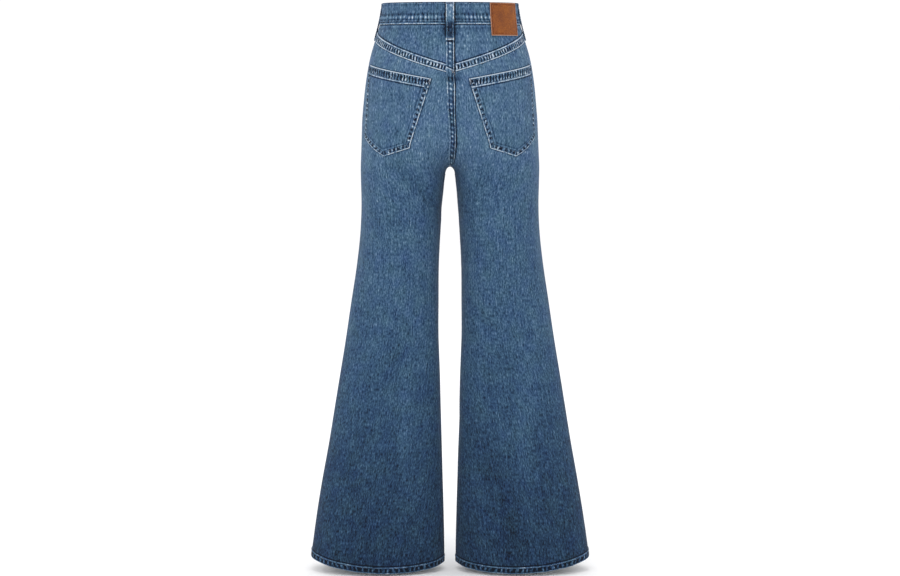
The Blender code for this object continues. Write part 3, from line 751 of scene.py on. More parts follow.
def tone_of(quarter, distance, z):
    """The tone of the cloth at these distances from the side seam."""
    points = quarter.at(distance, z)
    x = np.abs(points[..., 0])
    tone = fade(z) + RELIEF_TONE * quarter.relief_at(distance, z) + lines_beside(distance, SIDE_SEAM_LINES)
    for *line, amount in STROKES[quarter.face, quarter.side]:
        tone = tone + amount * stroke(x, z, *np.array(line) / 1000)
    return tone


def tone_over_centre(face, distance, z):
    distance, z = np.broadcast_arrays(distance, z)
    return np.where(distance > 0, *on_both_sides(tone_of, face, distance, z))


print("tone at the seat and at the hem:", round(float(fade(-0.2)), 3), round(float(fade(-1.1)), 3))

# %% [markdown]
# ## Denim
#
# Denim is a twill: blue threads cross white ones in fine slanting lines, and the blue threads are uneven, so the
# cloth shows short streaks down its length. The piece's UV map holds metres across and down the cloth, so every
# streak and every twill line has its real size on every piece.
#
# Seams are the other half of denim's look. Their edges are worn white, and between the rows of stitches the cloth
# pulls up into small ropes, pale on top and dark between. Each piece carries two vectors for that: the distance from
# its nearest seamed edge, the count of ropes along it, and how wide the seam's band is. One vector serves its sides
# and the other its top and foot.

# %% Denim finish
DENIM_STOPS = (
    (0.00, linear(9, 19, 35)),
    (0.20, linear(33, 56, 84)),
    (0.35, linear(48, 75, 104)),
    (0.50, linear(66, 97, 128)),
    (0.62, linear(82, 111, 142)),
    (0.74, linear(99, 128, 157)),
    (0.86, linear(120, 148, 175)),
    (0.94, linear(154, 177, 199)),
    (1.00, linear(204, 217, 229)),
)


def seam_effects(finish, vector, grain, drift, inner_line):
    """What one seam vector adds to the tone, and its relief in metres. grain and drift make the ropes uneven."""
    away, turns, width = finish.parts(vector)
    inside = (width - away).rising(-0.0003, 0.0003)
    banded = width.rising(0.001, 0.002)
    rope = ((turns + grain * 0.45 + drift * 0.5 + away * 22.0) * (2 * math.pi)).sine()
    between = inside * away.rising(0.0014, 0.0034) * (width - away).rising(0.0010, 0.0030)
    roped = banded * between * rope
    folded = banded * (1 - away.rising(0.0007, 0.0021))
    border = banded * away.near(width, 0.0016)
    valley = banded * (away - width).near(0.0025, 0.0022)
    inner_row = banded * away.near(0.0028, 0.0012)
    outer_row = banded * (width - away).near(0.0024, 0.0012)
    patchy = 1.0 + grain * 0.9 + drift * 0.7
    tone = roped * 0.44 * patchy + folded * 0.46 * patchy + border * inner_line * patchy
    # The valley just outside a band's fold is darkened: painted shadow, on cloth that is also less worn there.
    tone = tone - valley * (0.12 + inner_line * 0.71)
    tone = tone - (inner_row + outer_row) * 0.16 - between * banded * 0.14
    plain = (1 - banded) * away.near(0.0, 0.006)
    drawn = plain * (0.5 + rope * 0.5)
    # A plain seam's groove gets a dark line of painted shadow; the puckers beside it are drawn pale.
    tone = tone + drawn * 0.14 - (1 - banded) * away.near(0.0, 0.0024) * 0.38
    relief = roped * 0.00034 - (inner_row + outer_row) * 0.00022 - valley * 0.0002 + drawn * 0.00018
    return tone, relief


# Ribs in a metre across and down the cloth.
TWILL = (1150.0, 1150.0)
WEFT = (-300.0, 1500.0)
LAID_REACH = 0.02


def denim(name, shift=0.0, seams=2, blotch=0.05, crisp=1.0, inner_lines=(0.42, 0.42)):
    """A denim finish. shift makes the piece paler or darker, blotch more uneven, and crisp its seams stronger.

    inner_lines says how pale the far side of each seam's band is, and how deep the painted shadow just beyond it."""
    finish = ClothFinish(name, Roughness=0.92, Specular_IOR_Level=0.2, Sheen_Weight=0.04, Sheen_Roughness=0.5)
    streak = finish.grain(430.0, 45.0)
    slub = finish.grain(480.0, 170.0, 5.0, detail=1.0)
    long_streak = finish.grain(210.0, 9.0, 4.0)
    speck = finish.grain(760.0, 520.0, 9.0, detail=1.0)
    mottle = finish.grain(150.0, 110.0, 2.0, detail=3.0, rough=0.65)
    cloud = finish.grain(22.0, 14.0, 7.0, detail=3.0, rough=0.55)
    twill = finish.ribs(*TWILL)
    weft = finish.ribs(*WEFT)
    tone = finish.reading("tone") + shift
    tone = tone + streak * 0.34 + slub * 0.50 + long_streak * 0.14 + speck * 0.16 + mottle * blotch
    tone = tone + cloud * 0.08 + twill * 0.035 + weft * 0.012
    relief = twill * 0.00005 + streak * 0.00008 + slub * 0.00006 + speck * 0.00005
    # Cloth beside the edge of a piece laid on it is darkened: painted shade from that piece's thickness, on denim that
    # has also kept more of its blue there.
    from_laid = (1 - finish.reading("laid")) * LAID_REACH
    tone = tone - (1 - from_laid.rising(0.0004, 0.0036)) * 0.34
    close_grain = finish.grain(150.0, 150.0, 3.0, detail=1.0)
    drift = finish.grain(45.0, 45.0, 6.0, detail=1.0)
    for seam, inner_line in zip(("sides", "ends")[:seams], inner_lines):
        more, raised = seam_effects(finish, finish.reading(seam, "Vector"), close_grain, drift, inner_line)
        tone = tone + more * crisp
        relief = relief + raised
    tint = finish.grain(34.0, 26.0, 11.0)
    colour = finish.ramp(DENIM_STOPS, tone)
    sockets = {"Color": colour, "Hue": 0.498 + tint * 0.024, "Saturation": 1.02 + tint * 0.10}
    colour = finish.node("ShaderNodeHueSaturation", {}, sockets)
    return finish.shows(Base_Color=colour, Normal=finish.bump(relief, 0.9))


def denim_inside(name):
    """The inner side, where the white threads show more than the blue."""
    finish = ClothFinish(name, Roughness=0.95, Specular_IOR_Level=0.2)
    streak = finish.grain(520.0, 40.0, detail=3.0)
    cloud = finish.grain(26.0, 20.0, 7.0, detail=3.0)
    twill = finish.ribs(*TWILL)
    stops = ((0.0, linear(96, 112, 132)), (0.5, linear(146, 160, 176)), (1.0, linear(188, 198, 208)))
    colour = finish.ramp(stops, 0.5 + streak * 0.30 + cloud * 0.20 + twill * 0.10)
    return finish.shows(Base_Color=colour, Normal=finish.bump(twill * 0.00006 + streak * 0.0001))


INSIDE = denim_inside("denim_inside")
DENIM_PANEL = denim("denim_panel")
DENIM_YOKE = denim("denim_yoke", 0.015, 2, 0.20, 1.3)
DENIM_POCKET = denim("denim_pocket", 0.0, 2, 0.14, 1.15, (0.08, 0.42))
DENIM_WAISTBAND = denim("denim_waistband", -0.03, 0, 0.42)
DENIM_LOOP = denim("denim_loop", 0.0, 0, 0.30)
DENIM_FACING = denim("denim_facing", -0.08, 1)
DENIM_FLY = denim("denim_fly", 0.0)
print("denim nodes:", len(DENIM_PANEL.node_tree.nodes))

# %% [markdown]
# ## From a grid of points to a piece of cloth
#
# A cutter lays a piece out flat. Here a piece is a grid of rows and columns, read off the surface. Solidify gives it
# the thickness of one layer of denim, and the side that it adds is the inner one, which takes the pale inside
# finish. The grid is closer together where a seam makes the cloth step.

# %% Cloth from a grid
def mark_points(mesh, label, kind, values):
    """Store one number, or three, at each point of a mesh."""
    field = "vector" if kind == "FLOAT_VECTOR" else "value"
    mesh.attributes.new(label, kind, "POINT").data.foreach_set(field, values.astype(np.float32).ravel())


def select_only(*pieces):
    """Deselect everything, then select these pieces. The first is the active one."""
    bpy.ops.object.select_all(action="DESELECT")
    for piece in pieces:
        piece.select_set(True)
    bpy.context.view_layer.objects.active = pieces[0]


def cloth(name, grid, flat, tone, seams, thickness, finish, inside=INSIDE, laid=0.0):
    """A closed sheet whose outer side goes through a grid of points, with their normals.

    flat holds the way across and down the cloth, seams what lies near its sides and near its ends, and laid is 1 at
    the edge of a piece on top of it."""
    points, normals = grid
    shape = rows, cols = points.shape[:2]
    corner = np.arange(rows * cols).reshape(shape)
    faces = np.stack([corner[:-1, :-1], corner[:-1, 1:], corner[1:, 1:], corner[1:, :-1]], -1).reshape(-1, 4)
    i, j = rows // 2, cols // 2
    turn = np.cross(points[i, j + 1] - points[i, j], points[i + 1, j] - points[i, j])
    if np.dot(turn, normals[i, j]) < 0:
        faces = faces[:, ::-1]
    mesh = bpy.data.meshes.new(name)
    mesh.from_pydata(points.reshape(-1, 3).tolist(), [], faces.tolist())
    laid_out = np.stack(np.broadcast_arrays(*flat), -1).reshape(-1, 2)
    order = np.empty(len(mesh.loops), np.int32)
    mesh.loops.foreach_get("vertex_index", order)
    mesh.uv_layers.new(name="cloth").uv.foreach_set("vector", laid_out[order].astype(np.float32).ravel())
    mark_points(mesh, "tone", "FLOAT", np.broadcast_to(tone, shape))
    mark_points(mesh, "laid", "FLOAT", np.broadcast_to(laid, shape))
    for label, seam in zip(("sides", "ends"), seams):
        mark_points(mesh, label, "FLOAT_VECTOR", np.stack([np.broadcast_to(part, shape) for part in seam], -1))
    piece = add(name, mesh)
    mesh.materials.append(finish)
    mesh.materials.append(inside)
    wall = piece.modifiers.new("wall", "SOLIDIFY")
    wall.thickness = thickness
    wall.offset = -1
    wall.material_offset = 1
    select_only(piece)
    bpy.ops.object.modifier_apply(modifier="wall")
    bpy.ops.object.shade_smooth_by_angle(angle=math.radians(50))
    return piece


def place_on_body(piece, node):
    """Let a piece stand for a node of the plain model."""
    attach(piece, "root")
    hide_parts(node)
    return piece


def stepped(distance, width, rise=FELL_RISE):
    """The height of a band of this width along an edge, with a short slope down from it."""
    return rise * (1 - ease((distance - width) / FELL_STEP))


def turned_in(distance, radius=0.0010):
    """How far cloth drops as it rolls over a folded edge."""
    t = np.clip(1 - distance / radius, 0, 1)
    return -0.6 * radius * (1 - np.sqrt(1 - t**2 * 0.96))


# Near a seam: the distance from it, the count of ropes along it, and how wide its band is.
NO_SEAM = (1.0, 0.0, 0.0)
print("ready to cut cloth")

# %% [markdown]
# ## Thread
#
# Every stitch is a short bent length of thread, sunk at both ends. One is a tube of four rings with five sides, which
# is plenty at this size. Rows of them are laid along a path on the cloth and joined to one mesh for each piece. Thread
# fades and frays unevenly, so each stitch carries a random number that its finish turns into colour.

# %% Stitches
STITCH_PITCH = 0.0033
STITCH_LENGTH = 0.0027
THREAD_RADIUS = 0.00036
BAR_RADIUS = 0.00034
LOOK_AHEAD = 0.0006
# Each ring of a stitch: its place along it, its width and its lift, as shares of length and radius.
STITCH_RINGS = ((-0.5, 0.45, -0.55), (-0.30, 1.0, 0.30), (0.30, 1.0, 0.30), (0.5, 0.45, -0.55))
STITCH_SIDES = 5
STITCH_POINTS = len(STITCH_RINGS) * STITCH_SIDES
chance = np.random.default_rng(41)


def along_path(points, normals, pitch):
    """Places, directions and normals at even steps along a path."""
    steps = np.linalg.norm(np.diff(points, axis=0), axis=1)
    run = np.concatenate([[0], np.cumsum(steps)])
    count = max(int(run[-1] / pitch), 1)
    middle = (np.arange(count) + 0.5) * run[-1] / count

    def read(grid, where):
        return np.stack([np.interp(where, run, grid[:, k]) for k in range(3)], -1)

    further, nearer = np.minimum(middle + LOOK_AHEAD, run[-1]), np.maximum(middle - LOOK_AHEAD, 0)
    ahead = unit(read(points, further) - read(points, nearer))
    normal = read(normals, middle)
    normal = unit(normal - ahead * (normal * ahead).sum(1, keepdims=True))
    return read(points, middle), ahead, normal


def row_of_stitches(points, normals, pitch=STITCH_PITCH, length=STITCH_LENGTH):
    """Stitches along a path: their places, directions, normals and lengths."""
    place, ahead, normal = along_path(points, normals, pitch)
    return place, ahead, normal, np.full(len(place), length)


def bartack(middle, ahead, normal, length, width, count):
    """A dense zigzag that locks the end of a seam: stitches laid side by side across its length."""
    across = np.cross(normal, ahead)
    spots = np.linspace(-0.5, 0.5, count)[:, None]
    place = middle + spots * length * ahead
    lean = np.where(np.arange(count) % 2, 0.18, -0.18)[:, None]
    return place, unit(across + lean * ahead), np.repeat(normal[None], count, 0), np.full(count, width)


def bar_through(spots, normals, length, width, count):
    """A bar over the middle one of three spots, along the line through them."""
    return bartack(spots[1], unit(spots[2] - spots[0]), normals[1], length, width, count)


def thread(name, rows, finish, radius=THREAD_RADIUS):
    """One mesh of all the stitches in these rows."""
    place, ahead, normal, length = (np.concatenate(parts) for parts in zip(*rows))
    count = len(place)
    across = np.cross(normal, ahead)
    place = place + across * chance.normal(0, 0.00010, (count, 1)) + ahead * chance.normal(0, 0.00008, (count, 1))
    ahead = ahead + across * chance.normal(0, 0.05, (count, 1))
    across = np.cross(normal, ahead)
    corners = np.empty((count, STITCH_POINTS, 3))
    for ring, (share, wide, lift) in enumerate(STITCH_RINGS):
        for k in range(STITCH_SIDES):
            turn = 2 * math.pi * (k + 0.5) / STITCH_SIDES
            offset = across * math.cos(turn) * radius * wide + normal * (math.sin(turn) * wide + lift) * radius
            corners[:, ring * STITCH_SIDES + k] = place + ahead * (share * length)[:, None] + offset
    here = np.arange(STITCH_POINTS - STITCH_SIDES)
    beside = here - here % STITCH_SIDES + (here + 1) % STITCH_SIDES
    walls = np.stack([here, beside, beside + STITCH_SIDES, here + STITCH_SIDES], 1)
    ring = np.arange(STITCH_SIDES)
    caps = np.stack([ring[::-1], ring + STITCH_POINTS - STITCH_SIDES])
    first = np.arange(count)[:, None, None] * STITCH_POINTS
    faces = [(shape + first).reshape(-1, shape.shape[1]).tolist() for shape in (walls, caps)]
    mesh = bpy.data.meshes.new(name)
    mesh.from_pydata(corners.reshape(-1, 3).tolist(), [], faces[0] + faces[1])
    mark_points(mesh, "chance", "FLOAT", np.repeat(chance.random(count), STITCH_POINTS))
    mesh.shade_smooth()
    mesh.materials.append(finish)
    piece = add(name, mesh)
    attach(piece, "root")
    return piece


def thread_finish(name, dark, mid, pale):
    """Spun thread. Most stitches keep the middle colour, some are rubbed pale."""
    finish = Finish(name, Roughness=0.75, Specular_IOR_Level=0.3)
    place = finish.place()
    worn = finish.noise(place, scale=90.0) * 0.45 + finish.reading("chance") * 0.75 + 0.1
    stops = ((0.15, linear(*dark)), (0.5, linear(*mid)), (0.9, linear(*pale)))
    twist = finish.noise(place, scale=2600.0, detail=1.0) * 0.00006
    return finish.shows(Base_Color=finish.ramp(stops, worn), Normal=finish.bump(twist))


THREAD = thread_finish("thread", (56, 78, 106), (108, 137, 168), (168, 191, 213))
# A darker copy of the thread: painted shade for the stitches on the belt loops that are painted in shade.
THREAD_SHADED = thread_finish("thread_shaded", (26, 40, 62), (50, 70, 96), (84, 106, 132))
THREAD_TAN = thread_finish("thread_tan", (74, 76, 88), (118, 122, 134), (168, 174, 184))
print("thread is", THREAD_RADIUS * 2000, "mm thick")

# %% [markdown]
# ## Fronts and backs
#
# A back reaches from the yoke to the hem, and a front from the waistband and the scoop of its pocket to the hem. Rows
# of points slant along the top edge, run level down the leg and slant again along the hem. Columns keep a share of the
# way round, and close up at the seams.
#
# The hem is turned up and stitched once. Its band is two layers thick and twists into slanting ropes as it shrinks.

# %% Sizes of the yoke, the seat seam and the front pockets
YOKE_CENTRE = -0.1203
YOKE_SIDE = -0.0500
YOKE_BOW = 0.6
YOKE_BAND = 0.0132
SEAT_BAND = {1: 0.0074, -1: 0.0075}
SEAT_FOLD = 0.0013
SEAT_BOW = 0.0018
INSEAM_BAND = 0.0100
INSEAM_RISE = 0.0005
INSEAM_TOP = CROTCH - 0.004
SCOOP_WIDE = 0.100
SCOOP_DEEP = 0.075
SCOOP_ROUND = 0.088
SCOOP_BAND = 0.0098
FACING_SPARE = 0.024
SIDE_START = (0.0, 0.0012, 0.0035, 0.007, 0.012, 0.018)
SCOOP_TURNS = (0, 0.4, 1.1, 2.0)
LAST_SHARE = 0.935
# A faint wave in the legs' lower ends: its height, the count round a quarter, and how far up it reaches.
HEM_WAVE = 0.0007
HEM_WAVES = 7
HEM_WAVE_REACH = 0.10
# The seat's fold keeps the right side beside it in the shade, most where it crosses the yoke's own fold.
FOLD_FOOT = CROTCH + 0.006
FOLD_SHADE = {1: 0.05, -1: 0.66}
KNOT_SHADE = {1: 0.12, -1: 0.30}
# Each kind of piece has its own place on the cloth, so that no two share their grain.
CUT_FROM = {"back": 0.0, "front": 1.7, "yoke": 0.6, "pocket": 1.1}
LEVEL_FROM = -0.150
LEVEL_TO = -1.038
TOP_ROWS = (0.0, 0.0005, 0.0014, 0.0028)
CROTCH_ROWS = (0.024, 0.018, 0.012, 0.008, 0.0055, 0.0035, 0.0020, 0.0010, 0.0004,
               -0.0004, -0.001, -0.002, -0.0035, -0.006, -0.009, -0.012, -0.016)
HEM_ROWS = (0.0128, 0.0120, 0.0108, 0.0085, 0.0060, 0.0035, 0.0018, 0.0008, 0.0003, 0.0)
EDGE_COLUMNS = (0.0, 0.0004, 0.0012, 0.0026, 0.0045, 0.0065, 0.0085, 0.0100, 0.0110, 0.0118, 0.0150)
ROPE = 0.0072
HEM_ROPE = 0.0105


def hem_height(face, share):
    return blend(HEM_SIDE, HEM_INSEAM, share) - HEM_SAG[face] * np.sin(math.pi * share)


def yoke_line(from_centre, whole):
    """The height of the yoke's lower edge."""
    share = np.clip(from_centre / whole, 0, 1)
    return blend(YOKE_CENTRE, YOKE_SIDE, share + YOKE_BOW * share**3 * (1 - share))


def back_top(quarter, from_side, z):
    whole = quarter.round_at(z)
    return yoke_line(whole - from_side, whole) - GAP


def under_waistband(quarter, from_side, z=WAIST_SEAM):
    """The height of a piece's top edge where it is sewn to the waistband."""
    return WAIST_SEAM + waist_dip(quarter.at(from_side, z)[..., 1]) - GAP


def front_top(quarter, from_side, z):
    into = np.clip(from_side / SCOOP_WIDE, 0, 1)
    return under_waistband(quarter, from_side, z) - SCOOP_DEEP * np.sqrt(1 - into**2)


def from_scoop(quarter, from_side, z):
    """The distance from the scoop's edge, and the way along it."""
    down = under_waistband(quarter, from_side, z) - z
    away = np.maximum(beyond_ellipse(from_side, down, SCOOP_WIDE, SCOOP_DEEP), 0)
    return away, np.arctan2(down / SCOOP_DEEP, from_side / SCOOP_WIDE) * SCOOP_ROUND


# %% Where other pieces lie on the backs
# A back pocket's corners, by their distance from the centre seam and their height.
POCKET = {
    "inner_top": (0.0360, -0.1316),
    "inner_foot": (0.0790, -0.2640),
    "tip": (0.1350, -0.2803),
    "outer_foot": (0.1880, -0.2446),
    "outer_top": (0.1880, -0.1040),
}
CORNERS = {name: np.array(place) for name, place in POCKET.items()}
POCKET_PATH = tuple(POCKET)


def from_pocket(place):
    """The distance of each place on a back from the pocket's outline."""
    x, z = place[..., 0], place[..., 1]
    sides = zip(POCKET_PATH, POCKET_PATH[1:] + POCKET_PATH[:1])
    return np.min([from_stretch(x, z, *CORNERS[start], *CORNERS[end])[0] for start, end in sides], axis=0)


def seat_bow(z):
    """The seat's fold isn't quite straight: under the yokes it bows towards the right leg, and comes back."""
    return 0.0016 * ease((-0.120 - z) / 0.03) + SEAT_BOW * line_at(z + 0.245, 0.035)


def fold_edge(side, z):
    """How far the seat's fold reaches from the centre back seam on a side. It grows narrower towards the crotch."""
    return SEAT_BAND[side] - side * seat_bow(z) - max(side, 0) * 0.0022 * ease((-0.160 - z) / 0.06)


def beside_fold(side, from_centre, z):
    """The right back lies lower than the seat's fold, so a line of painted shadow runs down beside it."""
    away = from_centre - fold_edge(side, z) - 0.0006
    faint = 1 - 0.4 * line_at(z + 0.157, 0.022)
    return FOLD_SHADE[side] * (faint if side == -1 else 1) * line_at(away, 0.0013)


def laid_near(distance):
    """1 at the edge of a piece that lies on the cloth, falling to 0 at LAID_REACH from it."""
    return np.clip(1 - np.abs(distance) / LAID_REACH, 0, 1)


# %% Cut the four leg pieces
def leg_rows(top, foot):
    crotch = CROTCH + np.array(CROTCH_ROWS)
    level = np.concatenate([
        np.linspace(LEVEL_FROM, crotch[0], 32)[:-1],
        crotch,
        np.linspace(crotch[-1], LEVEL_TO, 172)[1:],
    ])
    rows = [top - step for step in TOP_ROWS]
    rows += [blend(rows[-1], level[0], t) for t in np.linspace(0, 1, 24)[1:-1]]
    rows += [np.full_like(top, z) for z in level]
    rows += [blend(level[-1], foot + HEM_ROWS[0], t) for t in np.linspace(0, 1, 16)[1:-1]]
    rows += [foot + step for step in HEM_ROWS]
    return np.array(rows)


def leg_rise(face, quarter, from_side, z, foot):
    """How far the outer side stands off the surface, for the hem, the inseam's fell and a little puckering."""
    whole = quarter.round_at(z)
    share = from_side / whole
    rise = stepped(z - foot, HEM_BAND)
    if face == "back":
        felled = stepped(whole - from_side, INSEAM_BAND, INSEAM_RISE) * ease((INSEAM_TOP - z) / 0.012)
        rise = np.maximum(rise, felled)
    wave = HEM_WAVE * np.sin(2 * math.pi * share * HEM_WAVES + 3 * (face == "back"))
    wave = wave * ease(1 - (z - foot) / HEM_WAVE_REACH) * between_ends(share, 0.10)
    return rise + wave + turned_in(z - foot)


def leg_piece(face, side, shares, top_of):
    quarter = QUARTERS[face, side]
    near = np.array(EDGE_COLUMNS)[::-1]
    spread = np.concatenate([shares, np.zeros(len(near))])
    fixed = np.concatenate([np.zeros(len(shares)), near])
    even = np.arange(len(spread)) < len(shares)

    def places(z):
        return np.where(even, quarter.column(spread, z), quarter.round_at(z) - fixed)

    top = np.full(len(spread), WAIST_SEAM)
    for _ in range(3):
        top = top_of(quarter, places(top), top)
    foot = hem_height(face, places(np.full(len(spread), HEM_SIDE)) / quarter.round_at(HEM_SIDE))
    z = leg_rows(top, foot)
    from_side = places(z)
    from_edge = quarter.round_at(z) - from_side
    grid = quarter.lie(from_side, z, leg_rise(face, quarter, from_side, z, foot))
    felled = (z < INSEAM_TOP) & (face == "back") & (from_side >= from_edge)
    sides = (np.minimum(from_side, from_edge), z / ROPE, np.where(felled, INSEAM_BAND, 0.0))
    tone, laid = tone_of(quarter, from_side, z), 0.0
    if face == "front":
        away, along = from_scoop(quarter, from_side, z)
        at_top = (away, along / ROPE, SCOOP_BAND)
    else:
        at_top = ((top - z) * 0.95, from_side / ROPE, 0.0)
        fold = np.where((z > FOLD_FOOT) & (side == -1), from_edge - fold_edge(side, z), REACH)
        laid = laid_near(np.minimum(from_pocket(np.stack([from_edge, z], -1)), np.abs(fold)))
        knot = line_at(from_edge - 0.012, 0.010) * line_at(z - YOKE_CENTRE + 0.010, 0.012)
        shade = beside_fold(side, from_edge, z) + KNOT_SHADE[side] * knot
        tone = tone - ease((z - CROTCH) / 0.02) * shade
    at_hem = (z - foot, from_side / HEM_ROPE, HEM_BAND)
    ends = [np.where(z > LEVEL_FROM, one, other) for one, other in zip(at_top, at_hem)]
    flat = side * from_side + CUT_FROM[face], z
    piece = cloth(f"{face}_{SIDES[side]}", grid, flat, tone, (sides, ends), CLOTH, DENIM_PANEL, laid=laid)
    return place_on_body(piece, f"{face}_panel_{SIDES[side]}")


legs = {}
for side in SIDES:
    shares = np.concatenate([SIDE_START, np.linspace(0.027, LAST_SHARE, 82)])
    legs["back", side] = leg_piece("back", side, shares, back_top)
    turns = np.radians(np.concatenate([SCOOP_TURNS, np.linspace(4.0, 90, 40)]))
    scoop = SCOOP_WIDE * np.sin(turns) / QUARTERS["front", side].round_at(WAIST_SEAM)
    shares = np.concatenate([scoop, np.linspace(scoop[-1], LAST_SHARE, 46)[1:]])
    legs["front", side] = leg_piece("front", side, shares, front_top)
for piece in legs.values():
    print(piece.name, len(piece.data.polygons), "faces")

# %% [markdown]
# ## Yokes and the seat seam
#
# A yoke is the slanting piece between the waistband and the back. Its lower edge is folded over the back's top and
# stitched down twice, so it stands proud as a band 13 mm wide.
#
# The seat seam is folded the same way: the left back and the left yoke turn over the right ones, in one line from the
# waistband to the crotch. Their fold is cut here as a strip laid over both sides, and then joined to the left pieces.

# %% Yokes
YOKE_ROPE = 0.0056
YOKE_TOP_ROWS = (0.0, 0.0010, 0.0022, 0.0034, 0.0046, 0.0058, 0.0075, 0.0095, 0.012)
YOKE_FOOT_ROWS = (0.0134, 0.0124, 0.0105, 0.0080, 0.0055, 0.0036, 0.0022, 0.0012, 0.0005, 0.0002, 0.0)
YOKE_COLUMNS = (0.0, 0.002, 0.005, 0.0075, 0.0087, 0.0096, 0.0106, 0.0120, 0.0140)
LOOP_SHADOW = 0.0080
# Lines below the waistband's seam, each its strength, distance and width: painted shadow right under the waistband's
# foot, then a pale line and a faint dark one.
YOKE_TOP_LINES = ((-0.58, 0.0, 0.0019), (0.14, 0.0044, 0.0016), (-0.10, 0.0085, 0.003))


def beside_loop(x, strength):
    """Denim close to the back's belt loop has kept its dark blue, and lies in its shade."""
    away = np.maximum(np.abs(x) - LOOP_SHADOW, 0)
    return 0.26 * strength * line_at(away, 0.0080) + 0.52 * line_at(away, 0.0026)


def yoke_piece(side):
    quarter = QUARTERS["back", side]
    whole = quarter.round_at(YOKE_SIDE)
    from_centre = np.concatenate([YOKE_COLUMNS, np.linspace(0.016, whole - 0.004, 70), [whole - 0.0015, whole]])
    foot = yoke_line(from_centre, whole)
    seam_top = under_waistband(quarter, quarter.round_at(WAIST_SEAM) - from_centre)
    rows = [seam_top - step for step in YOKE_TOP_ROWS]
    rows += [blend(rows[-1], foot + YOKE_BAND + FELL_STEP, t) for t in np.linspace(0, 1, 24)[1:]]
    rows += [foot + step for step in YOKE_FOOT_ROWS]
    z = np.array(rows)
    from_side = quarter.round_at(z) * (1 - from_centre / whole)
    grid = quarter.lie(from_side, z, stepped(z - foot, YOKE_BAND) + turned_in(z - foot))
    seams = (from_side, z / ROPE, 0.0), ((z - foot) * 0.96, from_centre / YOKE_ROPE, YOKE_BAND)
    under = seam_top - z
    tone = tone_of(quarter, from_side, z) - 0.02 + lines_beside(under, YOKE_TOP_LINES)
    tone = tone - beside_loop(grid[0][..., 0], 1) * (1 - ease((under - 0.018) / 0.012))
    tone = tone - beside_fold(side, from_centre, z)
    laid = laid_near(from_centre - fold_edge(side, z)) if side == -1 else 0.0
    node, flat = f"yoke_{SIDES[side]}", (side * (CUT_FROM["yoke"] + from_centre), z)
    piece = cloth(node + "_cloth", grid, flat, tone, seams, CLOTH, DENIM_YOKE, laid=laid)
    return place_on_body(piece, node)


yokes = {side: yoke_piece(side) for side in SIDES}
print("yoke faces:", [len(piece.data.polygons) for piece in yokes.values()])

# %% The fold over the seat seam
SEAT_PUFF = 0.0090
SEAT_COLUMNS = 27
SEAT_THICK = 0.0010
LOOP_FOOT = -0.0577
SEAT_KNOT = YOKE_CENTRE + 0.002
# Soft lines on the fold: beside its left edge, beside its right edge, and along the yoke's fold that crosses it.
LEFT_LINES = ((0.62, 0.0013, 0.0014), (-0.30, 0.0044, 0.0009))
RIGHT_LINES = ((0.70, 0.0006, 0.0011), (-0.30, 0.0030, 0.0009))
# Along the crossing: a pale line, with a line of painted shadow just above it.
CROSSING_LINES = ((0.80, 0.0, 0.0013), (-0.60, 0.0026, 0.0014))
# Where it lies in shade, by height: below the belt loop, and below the crossing.
FOLD_SHADOWS = ((-0.75, LOOP_FOOT - 0.0022, 0.0016), (-0.40, SEAT_KNOT - 0.0135, 0.0048))


def fold_lift(z):
    """How far the fold's outer side stands off the backs. It is thickest where it crosses the yoke's own fold."""
    return SEAT_FOLD + 0.0008 * line_at(z - SEAT_KNOT, 0.008)


def puffs(aside, z, top, foot, seed):
    """The soft pale bumps between the two rows of stitches: 1 on top of each, and 0 between them."""
    random = np.random.default_rng(seed)
    total = 0.0
    for height in np.arange(foot + 0.004, top, SEAT_PUFF):
        shift, size = random.normal(0, 0.0009), random.uniform(0.6, 1.1)
        total = total + size * line_at(z - height - shift - 0.4 * aside, 0.0023) * line_at(aside, 0.0029)
    return total


def seat_fold(name, top, foot, rows, seed):
    """The fold between two heights, as a strip that lies over the centre seam."""
    share = np.linspace(0, 1, SEAT_COLUMNS)
    z = np.linspace(top, foot, rows)[:, None]
    left, right = fold_edge(1, z), fold_edge(-1, z)
    across = left * (1 - share) - right * share
    to_left, to_right = left - across, across + right
    puffed = puffs(across - (left - right) / 2, z, top, foot, seed)
    lift = fold_lift(z) + 0.0004 * puffed + turned_in(np.minimum(to_left, to_right))
    worn = 1 - 0.8 * line_at(z - SEAT_KNOT + 0.004, 0.007)
    low = ease((-0.160 - z) / 0.03)
    tone = tone_over_centre("back", across, z) - 0.22 - 0.20 * low + (0.74 + 0.10 * low) * puffed * worn
    tone = tone + worn * (lines_beside(to_left, LEFT_LINES) + lines_beside(to_right, RIGHT_LINES))
    above_crossing = z - (YOKE_CENTRE + 0.0111 - 0.467 * to_left)
    tone = tone + lines_beside(above_crossing, CROSSING_LINES) + lines_beside(z, FOLD_SHADOWS)
    grid = lie_over_centre("back", across, z, lift)
    return cloth(name, grid, (across, z), tone, (NO_SEAM, NO_SEAM), SEAT_THICK, DENIM_YOKE)


def sew_to(piece, part):
    """Make one mesh of a piece and a part of it that was cut by itself."""
    select_only(piece, part)
    bpy.ops.object.join()


sew_to(yokes[1], seat_fold("fold_on_yoke", WAIST_SEAM - GAP, YOKE_CENTRE, 90, 5))
sew_to(legs["back", 1], seat_fold("fold_on_seat", YOKE_CENTRE, FOLD_FOOT, 150, 6))
print("left yoke and back with their folds:", len(yokes[1].data.polygons), len(legs["back", 1].data.polygons))

# %% [markdown]
# ## Back pockets
#
# Each back pocket is a patch of denim with a pointed foot. It leans with the yoke seam, follows the seat below it,
# and swells a little in its middle. The mouth is hemmed, with a pale worn fold. Two rows of stitches run round the
# other sides. The pockets are bare of any pattern.

